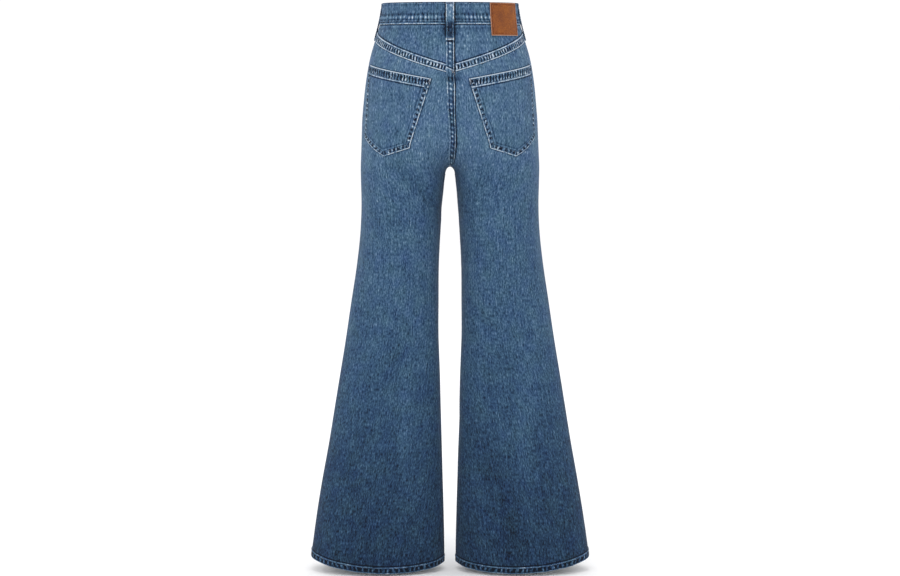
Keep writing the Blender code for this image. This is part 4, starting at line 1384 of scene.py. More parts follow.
# %% Back pockets
POCKET_BAND = 0.0168
POCKET_BAND_RISE = 0.0008
POCKET_SEAM = 0.0104
POCKET_ROPE = 0.0096
MOUTH_ROPE = 0.0062
POCKET_SWELL = 0.0012
POCKET_MOUTH_ROWS = (0.0, 0.0003, 0.001, 0.0022, 0.0036, 0.0048, 0.0060, 0.0075, 0.0110, 0.0156, 0.0168, 0.0177)
POCKET_FOOT_ROWS = (0.010, 0.006, 0.003, 0.001, 0.0003, 0.0)
POCKET_EDGE = (0.0, 0.002, 0.005, 0.010, 0.018, 0.030, 0.045)
MOUTH_LINES = ((0.28, 0.0, 0.0036), (-0.34, 0.0064, 0.0018))


def from_line(place, start, end):
    """The distance of each place from a line, and the way along it."""
    run = end - start
    length = np.hypot(*run)
    offset = place - start
    along = (offset @ run) / length
    away = (offset[..., 0] * run[1] - offset[..., 1] * run[0]) / length
    return np.abs(away), along


def pocket_edges(place):
    """For places on a pocket: distance from its nearest side, the way round, and the distance from its mouth."""
    nearest, way, so_far = np.inf, 0.0, 0.0
    for start, end in zip(POCKET_PATH[:-1], POCKET_PATH[1:]):
        away, along = from_line(place, CORNERS[start], CORNERS[end])
        closer = away < nearest
        nearest = np.where(closer, away, nearest)
        way = np.where(closer, so_far + along, way)
        so_far += np.hypot(*(CORNERS[end] - CORNERS[start]))
    mouth, along_mouth = from_line(place, CORNERS["inner_top"], CORNERS["outer_top"])
    return nearest, way, mouth, along_mouth


def pocket_out(place):
    side, _, mouth, _ = pocket_edges(place)
    near = np.minimum(side, mouth)
    band = stepped(mouth, POCKET_BAND, POCKET_BAND_RISE)
    return 2 * GAP + CLOTH + band + turned_in(near) + POCKET_SWELL * ease(near / 0.045)


def on_back(side, place):
    """The quarter, the distances from its side seam and the heights of places on a back."""
    quarter = QUARTERS["back", side]
    return quarter, quarter.round_at(place[..., 1]) - place[..., 0], place[..., 1]


def on_pocket(side, place, out=0.0):
    quarter, from_side, z = on_back(side, place)
    return quarter.lie(from_side, z, pocket_out(place) + out)


def pocket_piece(side):
    across = close_at_ends(0, 1, POCKET_EDGE, 0.065, 35)[:, None]
    top = blend(CORNERS["inner_top"], CORNERS["outer_top"], across)
    foot = blend(CORNERS["inner_foot"], CORNERS["tip"], np.clip(across * 2, 0, 1))
    foot = foot + (CORNERS["outer_foot"] - CORNERS["tip"]) * np.clip(across * 2 - 1, 0, 1)
    deep = np.linalg.norm(foot - top, axis=1)
    rows = [step / deep for step in POCKET_MOUTH_ROWS]
    rows += [blend(rows[-1], 1, t) for t in np.linspace(0, 1, 38)[1:-4]]
    rows += [1 - step / deep for step in POCKET_FOOT_ROWS]
    place = blend(top, foot, np.array(rows)[..., None])
    nearest, way, from_mouth, along_mouth = pocket_edges(place)
    tone = tone_of(*on_back(side, place)) - 0.05 + lines_beside(from_mouth, MOUTH_LINES)
    seams = (nearest, way / POCKET_ROPE, POCKET_SEAM), (from_mouth, along_mouth / MOUTH_ROPE, POCKET_BAND)
    flat = side * (CUT_FROM["pocket"] + place[..., 0]), place[..., 1]
    piece = cloth(f"pocket_{SIDES[side]}_cloth", on_pocket(side, place), flat, tone, seams, CLOTH, DENIM_POCKET)
    return place_on_body(piece, f"back_pocket_{SIDES[side]}")


pockets = {side: pocket_piece(side) for side in SIDES}
print("pocket faces:", [len(piece.data.polygons) for piece in pockets.values()])

# %% [markdown]
# ## Waistband
#
# The waistband is one strip, folded at its top, and closed in front where its upper end laps over its lower end. It is
# stitched along both edges, and the cloth between the rows gathers into upright ropes, strongest toward its foot.

# %% Waistband
BAND_THICK = 0.0024
BAND_PROUD = 0.0013
BAND_END = -0.012
BAND_UNDER_END = 0.034
BAND_TUCK = 0.032
BAND_MIDDLE = (WAIST_TOP + WAIST_SEAM) / 2
# The rows at its fold and at its foot: each one's height, and how far it is set in.
BAND_FOLD = ((0.0159, 0.0012), (0.0161, 0.0005), (0.0158, 0.0001), (0.0151, 0.0))
BAND_FOOT = ((-0.0246, 0.0), (-0.0256, 0.0001), (-0.0260, 0.0006))
# Tone down the waistband, from its fold to its foot.
BAND_TONES = (
    (0.0162, -0.20), (0.0150, -0.26), (0.0136, 0.10), (0.0116, -0.06), (0.0080, 0.05), (0.0030, 0.03),
    (-0.0040, -0.03), (-0.0078, -0.20), (-0.0100, -0.02), (-0.0124, 0.20), (-0.0150, 0.08), (-0.0178, -0.24),
    (-0.0196, 0.04), (-0.0222, -0.26), (-0.0242, 0.14), (-0.0256, 0.46), (-0.0262, 0.48),
)
BAND_ROPE = 0.0096


AT_WAIST = section(np.float64(0.0))


def front_angle(x):
    """The angle about +Z of a place in front, this far from the centre."""
    return -math.pi / 2 + x / (AT_WAIST["middle"] - AT_WAIST["front"])


BAND_START = front_angle(BAND_END)
BAND_TURN = 2 * math.pi + front_angle(BAND_UNDER_END) - BAND_START


def band_surface(angle, height, set_in=0.0):
    """Points and normals on the waistband's outer side, the way along it, and the ropes and where they show."""
    angle, height, set_in = np.broadcast_arrays(angle, height, set_in)
    along = (angle - BAND_START) * AT_WAIST["half"]
    under = BAND_TURN * AT_WAIST["half"] - (BAND_UNDER_END - BAND_END)
    tuck = ease((along - under + BAND_TUCK) / BAND_TUCK)
    place, _ = lie_at_waist(angle, height)
    dip = waist_dip(place[..., 1])
    uneven = np.sin(along * 61) + np.sin(along * 143 + 1.7)
    rope = np.sin(2 * math.pi * along / BAND_ROPE + 0.9 * uneven + height * 70)
    low = ease((height - WAIST_SEAM - 0.0022) / 0.003) * ease((-0.002 - height) / 0.008)
    high = ease((WAIST_TOP - 0.0030 - height) / 0.003) * ease((height - 0.001) / 0.006)
    relief = rope * (0.00042 * low + 0.00014 * high) * (1 + 0.25 * uneven)
    out = BAND_PROUD - set_in + relief - tuck * (BAND_THICK + 2 * GAP + BAND_PROUD + 0.0004)
    points, normals = lie_at_waist(angle, height + dip, out)
    return points, normals, along, rope, low


def waistband_piece():
    angle = BAND_START + BAND_TURN * np.linspace(0, 1, 540)
    even = [(z, 0.0) for z in np.linspace(0.0138, -0.0238, 36)]
    level, set_in = np.array([*BAND_FOLD, *even, *BAND_FOOT]).T[..., None]
    points, normals, along, rope, low = band_surface(angle, level, set_in)
    strength = 1 + 0.35 * np.sin(along * 37 + 0.6) + 0.2 * np.sin(along * 91)
    tone = fade(level) + read_tones(level, BAND_TONES) + 0.22 * strength * rope * low
    x, behind = points[..., 0], points[..., 1] > 0
    tone = tone - beside_loop(np.where(behind, x, 1.0), 0.35 + 0.65 * ease((0.006 - level) / 0.02))
    grid, flat, seams = (points, normals), (along, level), (NO_SEAM, NO_SEAM)
    piece = cloth("waistband_cloth", grid, flat, tone, seams, BAND_THICK, DENIM_WAISTBAND)
    return place_on_body(piece, "waistband")


waistband = waistband_piece()
print("waistband faces:", len(waistband.data.polygons))

# %% [markdown]
# ## Belt loops
#
# A belt loop is a strip folded in three and stitched down both sides. It is sewn at the top of the waistband and below
# it. Worn without a belt, it lies close to the cloth between.

# %% Belt loops
LOOP_WIDTH = 0.015
LOOP_THICK = 0.0015
LOOP_TOP = 0.0157
LOOP_STAND = 0.0006
LOOP_CLOSE = 0.0003
LOOP_ROPE = 0.0062
LOOP_EDGE = (0.0, 0.0003, 0.0008, 0.0016, 0.0028, 0.0045)
# Tone up a loop, from its foot: palest where it folds under, darkest below the waistband's seam.
LOOP_TONES = (
    (-0.0577, 0.94), (-0.0555, 0.92), (-0.0530, 0.40), (-0.0490, 0.26), (-0.0400, 0.16), (-0.0290, 0.13),
    (-0.0230, 0.34), (-0.0170, 0.66), (0.0020, 0.77), (0.0110, 0.80), (0.0132, 0.48), (0.0157, 0.94),
)
# Each loop: its node, its face, its distance from the centre seam, and how far its tone is evened to one dark tone:
# painted shade, strongest on the loops at the sides.
LOOPS = (
    ("belt_loop_back", "back", 0.0, 0.0),
    ("belt_loop_side_left", "back", 0.183, 0.70),
    ("belt_loop_side_right", "back", -0.172, 0.70),
    ("belt_loop_front_left", "front", 0.068, 0.50),
    ("belt_loop_front_right", "front", -0.068, 0.50),
)


def loop_line(from_centre, dip):
    """Heights down a loop, and how far its inner side stands off the cloth's surface."""
    top, foot = LOOP_TOP + dip, LOOP_FOOT + dip
    sewn, stand = BAND_PROUD + GAP, LOOP_STAND + BAND_PROUD
    flat = GAP + (SEAT_FOLD if from_centre == 0 else FELL_RISE)
    profile = (
        (top, sewn),
        (top - 0.004, sewn),
        (top - 0.009, stand - 0.0006),
        (top - 0.014, stand),
        (dip, stand),
        (dip + WAIST_SEAM + 0.003, stand),
        ((dip + WAIST_SEAM + foot) / 2 + 0.004, flat + LOOP_CLOSE),
        (foot + 0.011, flat + LOOP_CLOSE),
        (foot + 0.007, flat),
        (foot, flat),
    )
    return np.array(profile).T


def dip_at(face, from_centre):
    spot, _ = lie_over_centre(face, np.array([from_centre]), 0.0)
    return float(waist_dip(spot[0, 1]))


def on_loop(face, from_centre, beside, z, lift=0.0):
    """Points and normals on a loop's outer side."""
    line_z, line_out = loop_line(from_centre, dip_at(face, from_centre))
    out = smooth(z, line_z[::-1], line_out[::-1])
    quarter = QUARTERS[face, 1]
    upright = from_centre * quarter.round_at(z) / quarter.round_at(0.0)
    from_edge = LOOP_WIDTH / 2 - np.abs(beside)
    return lie_over_centre(face, upright + beside, z, out + LOOP_THICK + turned_in(from_edge, 0.0012) + lift)


def loop_piece(name, face, from_centre, plain):
    half = LOOP_WIDTH / 2
    beside = close_at_ends(-half, half, LOOP_EDGE, half - 0.001, 2)
    from_edge = half - np.abs(beside)
    dip = dip_at(face, from_centre)
    z = np.linspace(LOOP_TOP + dip, LOOP_FOOT + dip, 72)[:, None]
    # plain evens the loop towards one dark tone and dims its pale edges: painted shade.
    tone = blend(np.interp(z - dip, *np.array(LOOP_TONES).T), 0.34, plain)
    tone = tone + lines_beside(from_edge, ((0.30 * (1 - plain), 0.0, 0.0018), (-0.14, 0.0034, 0.0012)))
    seams = (from_edge, z / LOOP_ROPE + np.sign(beside) * 0.25, 0.0), NO_SEAM
    grid = on_loop(face, from_centre, beside, z)
    piece = cloth(name + "_cloth", grid, (beside, z), tone, seams, LOOP_THICK, DENIM_LOOP)
    return place_on_body(piece, name)


loops = {loop[0]: loop_piece(*loop) for loop in LOOPS}
print("belt loops:", len(loops))

# %% [markdown]
# ## Leather patch
#
# The patch is a plain rectangle of undyed leather that has turned orange-brown. It lies over the waistband and down on
# to the yoke, with a stitched border pressed into it, and it is bare. Leather has a fine pebbled grain, and it darkens
# where it is handled.

# %% Leather patch
PATCH_INNER = 0.0778
PATCH_OUTER = 0.1435
PATCH_LEAN = 0.036
PATCH_TOP = 0.0150
PATCH_FOOT = -0.0490
PATCH_THICK = 0.0016
PATCH_BORDER = 0.0046
PATCH_EDGE = (0.0, 0.0003, 0.0009, 0.0020, 0.0034, 0.0042, 0.0052, 0.0070)


def leather(name):
    finish = Finish(name, Specular_IOR_Level=0.35)
    place = finish.place()
    away, _, _ = finish.parts(finish.reading("sides", "Vector"))
    cloud = finish.noise(place, scale=38.0, detail=4.0, rough=0.6)
    fine = finish.noise(place, scale=420.0, detail=3.0, rough=0.6)
    pebble = finish.node("ShaderNodeTexVoronoi", {}, {"Vector": place, "Scale": 900.0}, "Distance")
    line = away.near(PATCH_BORDER, 0.0016)
    edge = 1 - away.rising(0.0006, 0.0018)
    groove = away.near(0.0028, 0.0012)
    shade = 0.53 + cloud * 0.30 + fine * 0.36 - line * 0.06 - groove * 0.28 + edge * 0.46 - pebble * 0.12
    stops = (
        (0.0, linear(88, 40, 8)), (0.3, linear(118, 58, 12)), (0.5, linear(140, 74, 14)),
        (0.7, linear(164, 96, 30)), (0.95, linear(182, 146, 130)),
    )
    rough = 0.62 + cloud * 0.15 + line * 0.1
    relief = pebble * 0.00006 + fine * 0.00008 - line * 0.0004
    return finish.shows(Base_Color=finish.ramp(stops, shade), Roughness=rough, Normal=finish.bump(relief, 0.8))


LEATHER = leather("leather")


def on_patch(from_centre, z, lift=0.0):
    quarter = QUARTERS["back", -1]
    turned = 1 - 0.5 * (from_centre - PATCH_INNER) / (PATCH_OUTER - PATCH_INNER)
    aside = PATCH_LEAN * turned * (quarter.round_at(z) / quarter.round_at(0.0) - 1)
    out = 3 * GAP + PATCH_THICK + (BAND_PROUD - GAP) * ease((z - PATCH_FOOT) / (WAIST_SEAM - PATCH_FOOT))
    return lie_over_centre("back", -from_centre - aside, z, out + lift)


def patch_piece():
    from_centre = close_at_ends(PATCH_INNER, PATCH_OUTER, PATCH_EDGE, 0.0095, 28)
    z = close_at_ends(PATCH_FOOT, PATCH_TOP, PATCH_EDGE, 0.0095, 24)[::-1, None]
    across = np.minimum(from_centre - PATCH_INNER, PATCH_OUTER - from_centre)
    from_edge = np.minimum(across, np.minimum(PATCH_TOP - z, z - PATCH_FOOT))
    pressed = -0.00035 * line_at(from_edge - PATCH_BORDER, 0.0010)
    curled = 0.0006 * (np.abs(z - 0.5 * (PATCH_TOP + PATCH_FOOT)) / 0.033) ** 4 * np.sin(from_centre * 60)
    lift = turned_in(from_edge, 0.0009) + pressed + curled * ease(from_edge / 0.004)
    grid, seams = on_patch(from_centre, z, lift), ((from_edge, 0.0, 0.0), NO_SEAM)
    piece = cloth("patch_leather", grid, (from_centre, z), 0.0, seams, PATCH_THICK, LEATHER, LEATHER)
    return place_on_body(piece, "patch")


patch_piece()
wide, high = PATCH_OUTER - PATCH_INNER, PATCH_TOP - PATCH_FOOT
print("patch:", round(wide * 1000, 1), "by", round(high * 1000, 1), "mm")

# %% [markdown]
# ## Front: facings, fly and zip
#
# Behind each scoop lies the facing, a piece of the same denim sewn into the side seam and the waistband. The fly is a
# flap of the left front that hides the zip. The zip is closed, so only its tape and the backs of its teeth can be
# seen, from inside the waist.

# %% Pocket facings
FACING_THICK = 0.0010
FACING_BOW = 0.92


def facing_piece(side):
    quarter = QUARTERS["front", side]
    wide, deep = SCOOP_WIDE + FACING_SPARE, SCOOP_DEEP + FACING_SPARE
    shares = np.linspace(0, wide, 56) / quarter.round_at(WAIST_SEAM)
    along_top = quarter.column(shares, WAIST_SEAM)
    foot = WAIST_SEAM - deep * np.sqrt(1 - (FACING_BOW * along_top / wide) ** 2)
    z = blend(under_waistband(quarter, along_top), foot, np.linspace(0, 1, 44)[:, None])
    from_side = quarter.column(shares, z)
    grid = quarter.lie(from_side, z, -CLOTH - 2 * GAP)
    node, seams = f"pocket_facing_{SIDES[side]}", ((from_side, z / ROPE, 0.0), NO_SEAM)
    tone = tone_of(quarter, from_side, z)
    piece = cloth(node + "_cloth", grid, (from_side, z), tone, seams, FACING_THICK, DENIM_FACING)
    return place_on_body(piece, node)


facings = {side: facing_piece(side) for side in SIDES}
print("facings:", len(facings))

# %% Fly
FLY_WIDE = 0.040
FLY_STRAIGHT = -0.125
FLY_FOOT = -0.190
FLY_CURVE = FLY_STRAIGHT - FLY_FOOT
FLY_THICK = 0.0010
FLY_BLUNT = 0.985
FLY_EDGE = (0, 0.006, 0.018, 0.045, 0.08, 0.12)
FLY_SEAM = 0.0092
FLY_END_SEAM = 0.0056
FLY_TOP = WAIST_SEAM - WAIST_DIP - GAP


def from_fly_curve(x, z):
    """The distance in from the fly's curved edge."""
    below = np.clip(FLY_STRAIGHT - z, 0, FLY_CURVE)
    inside = -beyond_ellipse(np.maximum(x, 0), below, FLY_WIDE, FLY_CURVE)
    return np.maximum(np.where(z >= FLY_STRAIGHT, FLY_WIDE - x, inside), 0)


def on_fly(x, z, lift=0.0):
    near = np.minimum(x - BAND_END, from_fly_curve(x, z))
    return lie_over_centre("front", x, z, 2 * GAP + FLY_THICK + turned_in(near, 0.0009) + lift)


def fly_piece():
    curved = np.linspace(FLY_STRAIGHT, FLY_FOOT, 52)[1:]
    z = np.concatenate([np.linspace(FLY_TOP, FLY_STRAIGHT, 60), curved])[:, None]
    below = np.clip((FLY_STRAIGHT - z) / FLY_CURVE, 0, FLY_BLUNT)
    wide = FLY_WIDE * np.sqrt(1 - below**2)
    x = blend(BAND_END, wide, close_at_ends(0, 1, FLY_EDGE, 0.17, 26))
    seams = (from_fly_curve(x, z), (z + x) / ROPE, FLY_SEAM), (x - BAND_END, z / ROPE, FLY_END_SEAM)
    tone = tone_over_centre("front", x, z) + 0.02
    piece = cloth("fly_cloth", on_fly(x, z), (x, z), tone, seams, FLY_THICK, DENIM_FLY)
    return place_on_body(piece, "fly")


fly = fly_piece()
print("fly faces:", len(fly.data.polygons))

# %% Zip tape and teeth
ZIP_WIDE = 0.014
ZIP_FOOT = -0.172
ZIP_THICK = 0.0010
TOOTH_PITCH = 0.0024
TOOTH_SIZE = (0.0036, 0.0010, 0.0013)
TOOTH_ASIDE = 0.0010


def zip_tape_finish(name):
    finish = ClothFinish(name, Roughness=0.85, Specular_IOR_Level=0.2)
    rib = (finish.across * (2 * math.pi * 900)).sine() * (finish.down * (2 * math.pi * 700)).sine()
    stops = ((0.0, linear(30, 38, 54)), (0.5, linear(44, 56, 78)), (1.0, linear(78, 92, 116)))
    colour = finish.ramp(stops, 0.5 + rib * 0.25 + finish.grain(60.0, 60.0) * 0.3)
    return finish.shows(Base_Color=colour, Normal=finish.bump(rib * 0.00008))


def metal(name, dark, pale, rough, scale):
    """Plated metal, dulled unevenly by wear."""
    finish = Finish(name, Metallic=1.0)
    cloud = finish.noise(finish.place(), scale=scale, detail=4.0, rough=0.6)
    fine = finish.noise(finish.place(), scale=scale * 9)
    stops = ((0.2, linear(*dark)), (0.8, linear(*pale)))
    colour = finish.ramp(stops, 0.5 + cloud * 0.6 + fine * 0.2)
    return finish.shows(Base_Color=colour, Roughness=rough + cloud * 0.18, Normal=finish.bump(fine * 0.00003))


ZIP_TAPE = zip_tape_finish("zip_tape")
ZIP_METAL = metal("zip_brass", (120, 96, 52), (196, 166, 104), 0.42, 160.0)


def zip_piece():
    x = np.linspace(-ZIP_WIDE, ZIP_WIDE, 18)
    z = np.linspace(FLY_TOP, ZIP_FOOT, 60)[:, None]
    grid = lie_over_centre("front", x, z, -CLOTH - 2 * GAP)
    piece = cloth("zip_tape", grid, (x, z), 0.0, (NO_SEAM, NO_SEAM), ZIP_THICK, ZIP_TAPE, ZIP_TAPE)
    return place_on_body(piece, "zip")


def zip_teeth():
    """One tooth, modelled once, and a copy at each step of the tape, to left and right in turn."""
    bpy.ops.object.select_all(action="DESELECT")
    bpy.ops.mesh.primitive_cube_add(size=1.0, location=(0, 0, 0))
    tooth = bpy.context.object
    bpy.ops.object.mode_set(mode="EDIT")
    bpy.ops.mesh.select_all(action="SELECT")
    bpy.ops.transform.resize(value=TOOTH_SIZE, center_override=(0, 0, 0))
    bpy.ops.mesh.bevel(offset=0.0002, segments=1)
    bpy.ops.object.mode_set(mode="OBJECT")
    steps = np.arange(FLY_TOP - 0.004, ZIP_FOOT + 0.006, -TOOTH_PITCH / 2)
    aside = np.where(np.arange(len(steps)) % 2, TOOTH_ASIDE, -TOOTH_ASIDE)
    points, normals = lie_over_centre("front", aside, steps, -CLOTH - 2 * GAP - ZIP_THICK - 0.0006)
    corners = np.array([vertex.co[:] for vertex in tooth.data.vertices])
    quads = [list(face.vertices) for face in tooth.data.polygons]
    verts, faces = [], []
    for point, normal in zip(points, normals):
        turned = Vector(normal.tolist()).to_track_quat("Y", "Z").to_matrix()
        first = len(verts)
        verts += [tuple(turned @ Vector(corner.tolist()) + Vector(point.tolist())) for corner in corners]
        faces += [[first + i for i in face] for face in quads]
    bpy.data.objects.remove(tooth)
    mesh = bpy.data.meshes.new("zip_teeth")
    mesh.from_pydata(verts, [], faces)
    mesh.materials.append(ZIP_METAL)
    teeth = add("zip_teeth", mesh)
    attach(teeth, "root")
    return teeth, len(points)


zip_closure = zip_piece()
teeth, tooth_count = zip_teeth()
print("zip teeth:", tooth_count)

# %% [markdown]
# ## Button
#
# The waist button is a stamped copper shell on a short shank. Its head has a rolled rim, a dished ring and a low dome,
# and it is plain. It is turned upright at first, and then set on the waistband, with the lap's buttonhole beside it.

# %% Button
BUTTON_X = 0.004
BUTTON_RADIUS = 0.0085
BUTTON_HIGH = 0.0042
BUTTON_HEAD = 0.0016
BUTTON_FLAT = 0.94
# Each ring of the head's top: radius as a share, and height below the rim.
BUTTON_RINGS = (
    (0.90, 0.0), (0.80, -0.00050), (0.58, -0.00095), (0.40, -0.00090), (0.30, -0.00060), (0.12, -0.00042),
)


def select_faces(mesh, test):
    for face in mesh.polygons:
        face.select = bool(test(face))


def button_piece():
    bpy.ops.object.select_all(action="DESELECT")
    middle = (0, 0, BUTTON_HIGH - BUTTON_HEAD / 2)
    bpy.ops.mesh.primitive_cylinder_add(
        vertices=64, radius=BUTTON_RADIUS * BUTTON_FLAT, depth=BUTTON_HEAD, location=middle, end_fill_type="NGON"
    )
    piece = bpy.context.object
    piece.name = "button_metal"
    bpy.ops.object.transform_apply(location=True, rotation=True, scale=True)
    share = BUTTON_FLAT
    for ring, level in BUTTON_RINGS:
        select_faces(piece.data, lambda face: face.normal.z > 0.9 and len(face.vertices) > 8)
        height = piece.data.vertices[[f for f in piece.data.polygons if f.select][0].vertices[0]].co.z
        bpy.ops.object.mode_set(mode="EDIT")
        bpy.ops.mesh.inset(thickness=(share - ring) * BUTTON_RADIUS, depth=0)
        bpy.ops.transform.translate(value=(0, 0, BUTTON_HIGH + level - height))
        bpy.ops.object.mode_set(mode="OBJECT")
        share = ring
    select_faces(piece.data, lambda face: face.normal.z < -0.9 and len(face.vertices) > 8)
    bpy.ops.object.mode_set(mode="EDIT")
    bpy.ops.mesh.inset(thickness=0.50 * BUTTON_RADIUS, depth=0)
    bpy.ops.mesh.extrude_region_move(TRANSFORM_OT_translate={"value": (0, 0, BUTTON_HEAD - BUTTON_HIGH)})
    bpy.ops.object.mode_set(mode="OBJECT")
    rim = piece.modifiers.new("rolled_rim", "BEVEL")
    rim.width = 0.0004
    rim.segments = 3
    rim.limit_method = "ANGLE"
    rim.angle_limit = math.radians(40)
    bpy.ops.object.modifier_apply(modifier="rolled_rim")
    bpy.ops.object.shade_smooth_by_angle(angle=math.radians(40))
    angle = front_angle(BUTTON_X)
    places = np.array([0.0, 0.0, 0.004]) - WAIST_DIP + BAND_MIDDLE
    spots, _ = lie_at_waist(np.array([angle, angle + 0.02, angle]), places, BAND_PROUD)
    axis = np.cross(spots[1] - spots[0], spots[2] - spots[0])
    axis /= np.linalg.norm(axis)
    piece.location = (spots[0] + axis * 2 * GAP).tolist()
    piece.rotation_euler = Vector(axis.tolist()).to_track_quat("Z", "Y").to_euler()
    bpy.ops.object.transform_apply(location=True, rotation=True, scale=True)
    piece.data.materials.append(metal("button_copper", (104, 62, 40), (186, 128, 92), 0.36, 240.0))
    return place_on_body(piece, "button")


button = button_piece()
print("button:", BUTTON_RADIUS * 2000, "mm across,", len(button.data.polygons), "faces")

# %% [markdown]
# ## Stitching
#
# Every row of topstitching is real thread on the cloth. Felled seams, hemmed edges and pockets have their rows a
# little inside their edges. Short dense bars lock the places that are pulled at: the pockets' corners, both ends of
# each belt loop, the fly, and the crossing of the yoke's seam and the seat's.

# %% Rows on the waistband and the belt loops
ON_CLOTH = 0.00012
BAR_ON_CLOTH = 0.00022
FINE = 420
FELL_INSET = 0.0022
LOOP_ROW = 0.0050
# The buttonhole's ends, and the distance of its lips from its middle.
HOLE = (0.0060, 0.0205)
LIP = 0.0012
# Each kind of bar: its length, its width and its count of stitches.
LOOP_BAR = (0.0118, 0.0020, 18)
POCKET_BAR = (0.0110, 0.0024, 18)


def row_on_band(angle, height):
    points, normals, _, _, _ = band_surface(angle, height)
    return row_of_stitches(points + normals * ON_CLOTH, normals)


def waistband_rows():
    """A row along each edge, and one down the upper end."""
    angle = BAND_START + BAND_TURN * np.linspace(0.004, 0.996, 1400)
    rows = [row_on_band(angle, height) for height in (WAIST_TOP - 0.0030, WAIST_SEAM + 0.0056)]
    down_end = np.linspace(WAIST_TOP - 0.004, WAIST_SEAM + 0.004, 40)
    return rows + [row_on_band(front_angle(BAND_END + 0.0024), down_end)]


def buttonhole():
    """Close upright stitches along both lips of the hole."""
    rows = []
    x = np.linspace(*HOLE, 26)
    for lip in (LIP, -LIP):
        points, normals, _, _, _ = band_surface(front_angle(x), BAND_MIDDLE + lip)
        up = np.tile([0.0, 0.0, 1.0], (len(points), 1))
        rows.append((points + normals * ON_CLOTH, up, normals, np.full(len(points), 0.0022)))
    return rows


def loop_rows(face, from_centre):
    """Two rows down a loop, and a bar at each of its ends."""
    dip = dip_at(face, from_centre)
    top, foot = LOOP_TOP + dip, LOOP_FOOT + dip
    z = np.linspace(top - 0.0036, foot + 0.0036, 80)
    rows = [row_of_stitches(*on_loop(face, from_centre, beside, z, ON_CLOTH)) for beside in (-LOOP_ROW, LOOP_ROW)]
    across = np.array([-0.002, 0.0, 0.002])
    bars = []
    for height in (top - 0.0022, foot + 0.0026):
        spots = on_loop(face, from_centre, across, height, ON_CLOTH)
        bars.append(bar_through(*spots, *LOOP_BAR))
    return rows, bars


stitches = {"waistband": [thread("stitches_waistband", waistband_rows() + buttonhole(), THREAD)]}
for name, face, from_centre, plain in LOOPS:
    rows, bars = loop_rows(face, from_centre)
    # Loops darkened with painted shade take the darker copy of the thread, which paints shade on their stitches.
    spun = THREAD_SHADED if plain > 0.6 else THREAD
    stitches[name] = [thread("stitches_" + name, rows, spun)]
    stitches[name].append(thread("bars_" + name, bars, THREAD_TAN, BAR_RADIUS))
print("stitched:", len(stitches))

# %% Rows on the yokes, the seat, the legs and the hems
def row_on(face, side, from_side, z, out):
    """A row on one quarter of the jeans, on cloth that stands this far out."""
    return row_of_stitches(*QUARTERS[face, side].lie(from_side, z, out + ON_CLOTH))


def yoke_rows(side):
    quarter = QUARTERS["back", side]
    whole = quarter.round_at(YOKE_SIDE)
    from_centre = np.linspace(SEAT_BAND[side] + 0.001, whole - 0.001, FINE)
    rows = []
    for above in (0.0023, YOKE_BAND - 0.0020):
        z = yoke_line(from_centre, whole) + above
        rows.append(row_on("back", side, quarter.round_at(z) * (1 - from_centre / whole), z, FELL_RISE))
    return rows


def fold_rows(top, foot):
    """Two rows down the seat's fold."""
    z = np.linspace(top, foot, FINE)
    lines = (fold_edge(1, z) - 0.0016, 0.0014 - fold_edge(-1, z))
    return [row_of_stitches(*lie_over_centre("back", across, z, fold_lift(z) + ON_CLOTH)) for across in lines]


def hem_row(face, side):
    share = np.linspace(0.002, 0.998, FINE)
    z = hem_height(face, share) + HEM_BAND - 0.0014
    return row_on(face, side, share * QUARTERS[face, side].round_at(z), z, FELL_RISE)


def rows_beside_end(face, side, distances, z, out):
    """Rows at these distances from a quarter's centre seam or inseam."""
    end = QUARTERS[face, side].round_at(z)
    return [row_on(face, side, end - distance, z, out) for distance in distances]


def scoop_rows(side):
    turn = np.radians(np.linspace(0.6, 89.4, FINE))
    rows = []
    for inside in (FELL_INSET, SCOOP_BAND - FELL_INSET):
        from_side = (SCOOP_WIDE + inside) * np.sin(turn)
        z = under_waistband(QUARTERS["front", side], from_side) - (SCOOP_DEEP + inside) * np.cos(turn)
        rows.append(row_on("front", side, from_side, z, 0.0))
    return rows


down_inseam = np.linspace(CROTCH - 0.014, HEM_INSEAM + 0.013, 900)
down_rise = np.linspace(FLY_FOOT + 0.002, CROTCH + 0.006, FINE)
for side, word in SIDES.items():
    on_yoke = yoke_rows(side)
    on_leg = [hem_row("back", side)]
    on_leg += rows_beside_end("back", side, (FELL_INSET, INSEAM_BAND - FELL_INSET), down_inseam, INSEAM_RISE)
    on_front = [hem_row("front", side)] + scoop_rows(side)
    if side == 1:
        on_yoke += fold_rows(WAIST_SEAM - 0.001, YOKE_CENTRE)
        on_leg += fold_rows(YOKE_CENTRE, CROTCH + 0.008)
        on_front += rows_beside_end("front", side, (0.0024, 0.0078), down_rise, 0.0)
    for place, rows in (("yoke", on_yoke), ("back", on_leg), ("front", on_front)):
        stitches[place, side] = [thread(f"stitches_{place}_{word}", rows, THREAD)]
print("stitches on the left back:", len(stitches["back", 1][0].data.vertices) // STITCH_POINTS)

# %% Rows on the pockets, the patch and the fly
DOWN_POCKET = np.array([0.02, -1.0])
EVENLY = np.linspace(0, 1, 90)[:, None]


def inset_path(corners, inset):
    """A path that runs this far inside the lines between the corners, with its ends on the mouth."""
    middle = sum(corners) / len(corners)
    lines = []
    for start, end in zip(corners[:-1], corners[1:]):
        run = unit(end - start)
        inward = np.array([run[1], -run[0]])
        inward *= np.sign(inward @ (middle - start))
        lines.append((start + inward * inset, run))
    mouth = (corners[0], unit(corners[-1] - corners[0]))
    lines = [mouth] + lines + [mouth]
    turns = []
    for (spot, run), (other, across) in zip(lines[:-1], lines[1:]):
        step = np.linalg.solve(np.stack([run, -across], 1), other - spot)[0]
        turns.append(spot + run * step)
    return np.concatenate([blend(start, end, EVENLY) for start, end in zip(turns[:-1], turns[1:])])


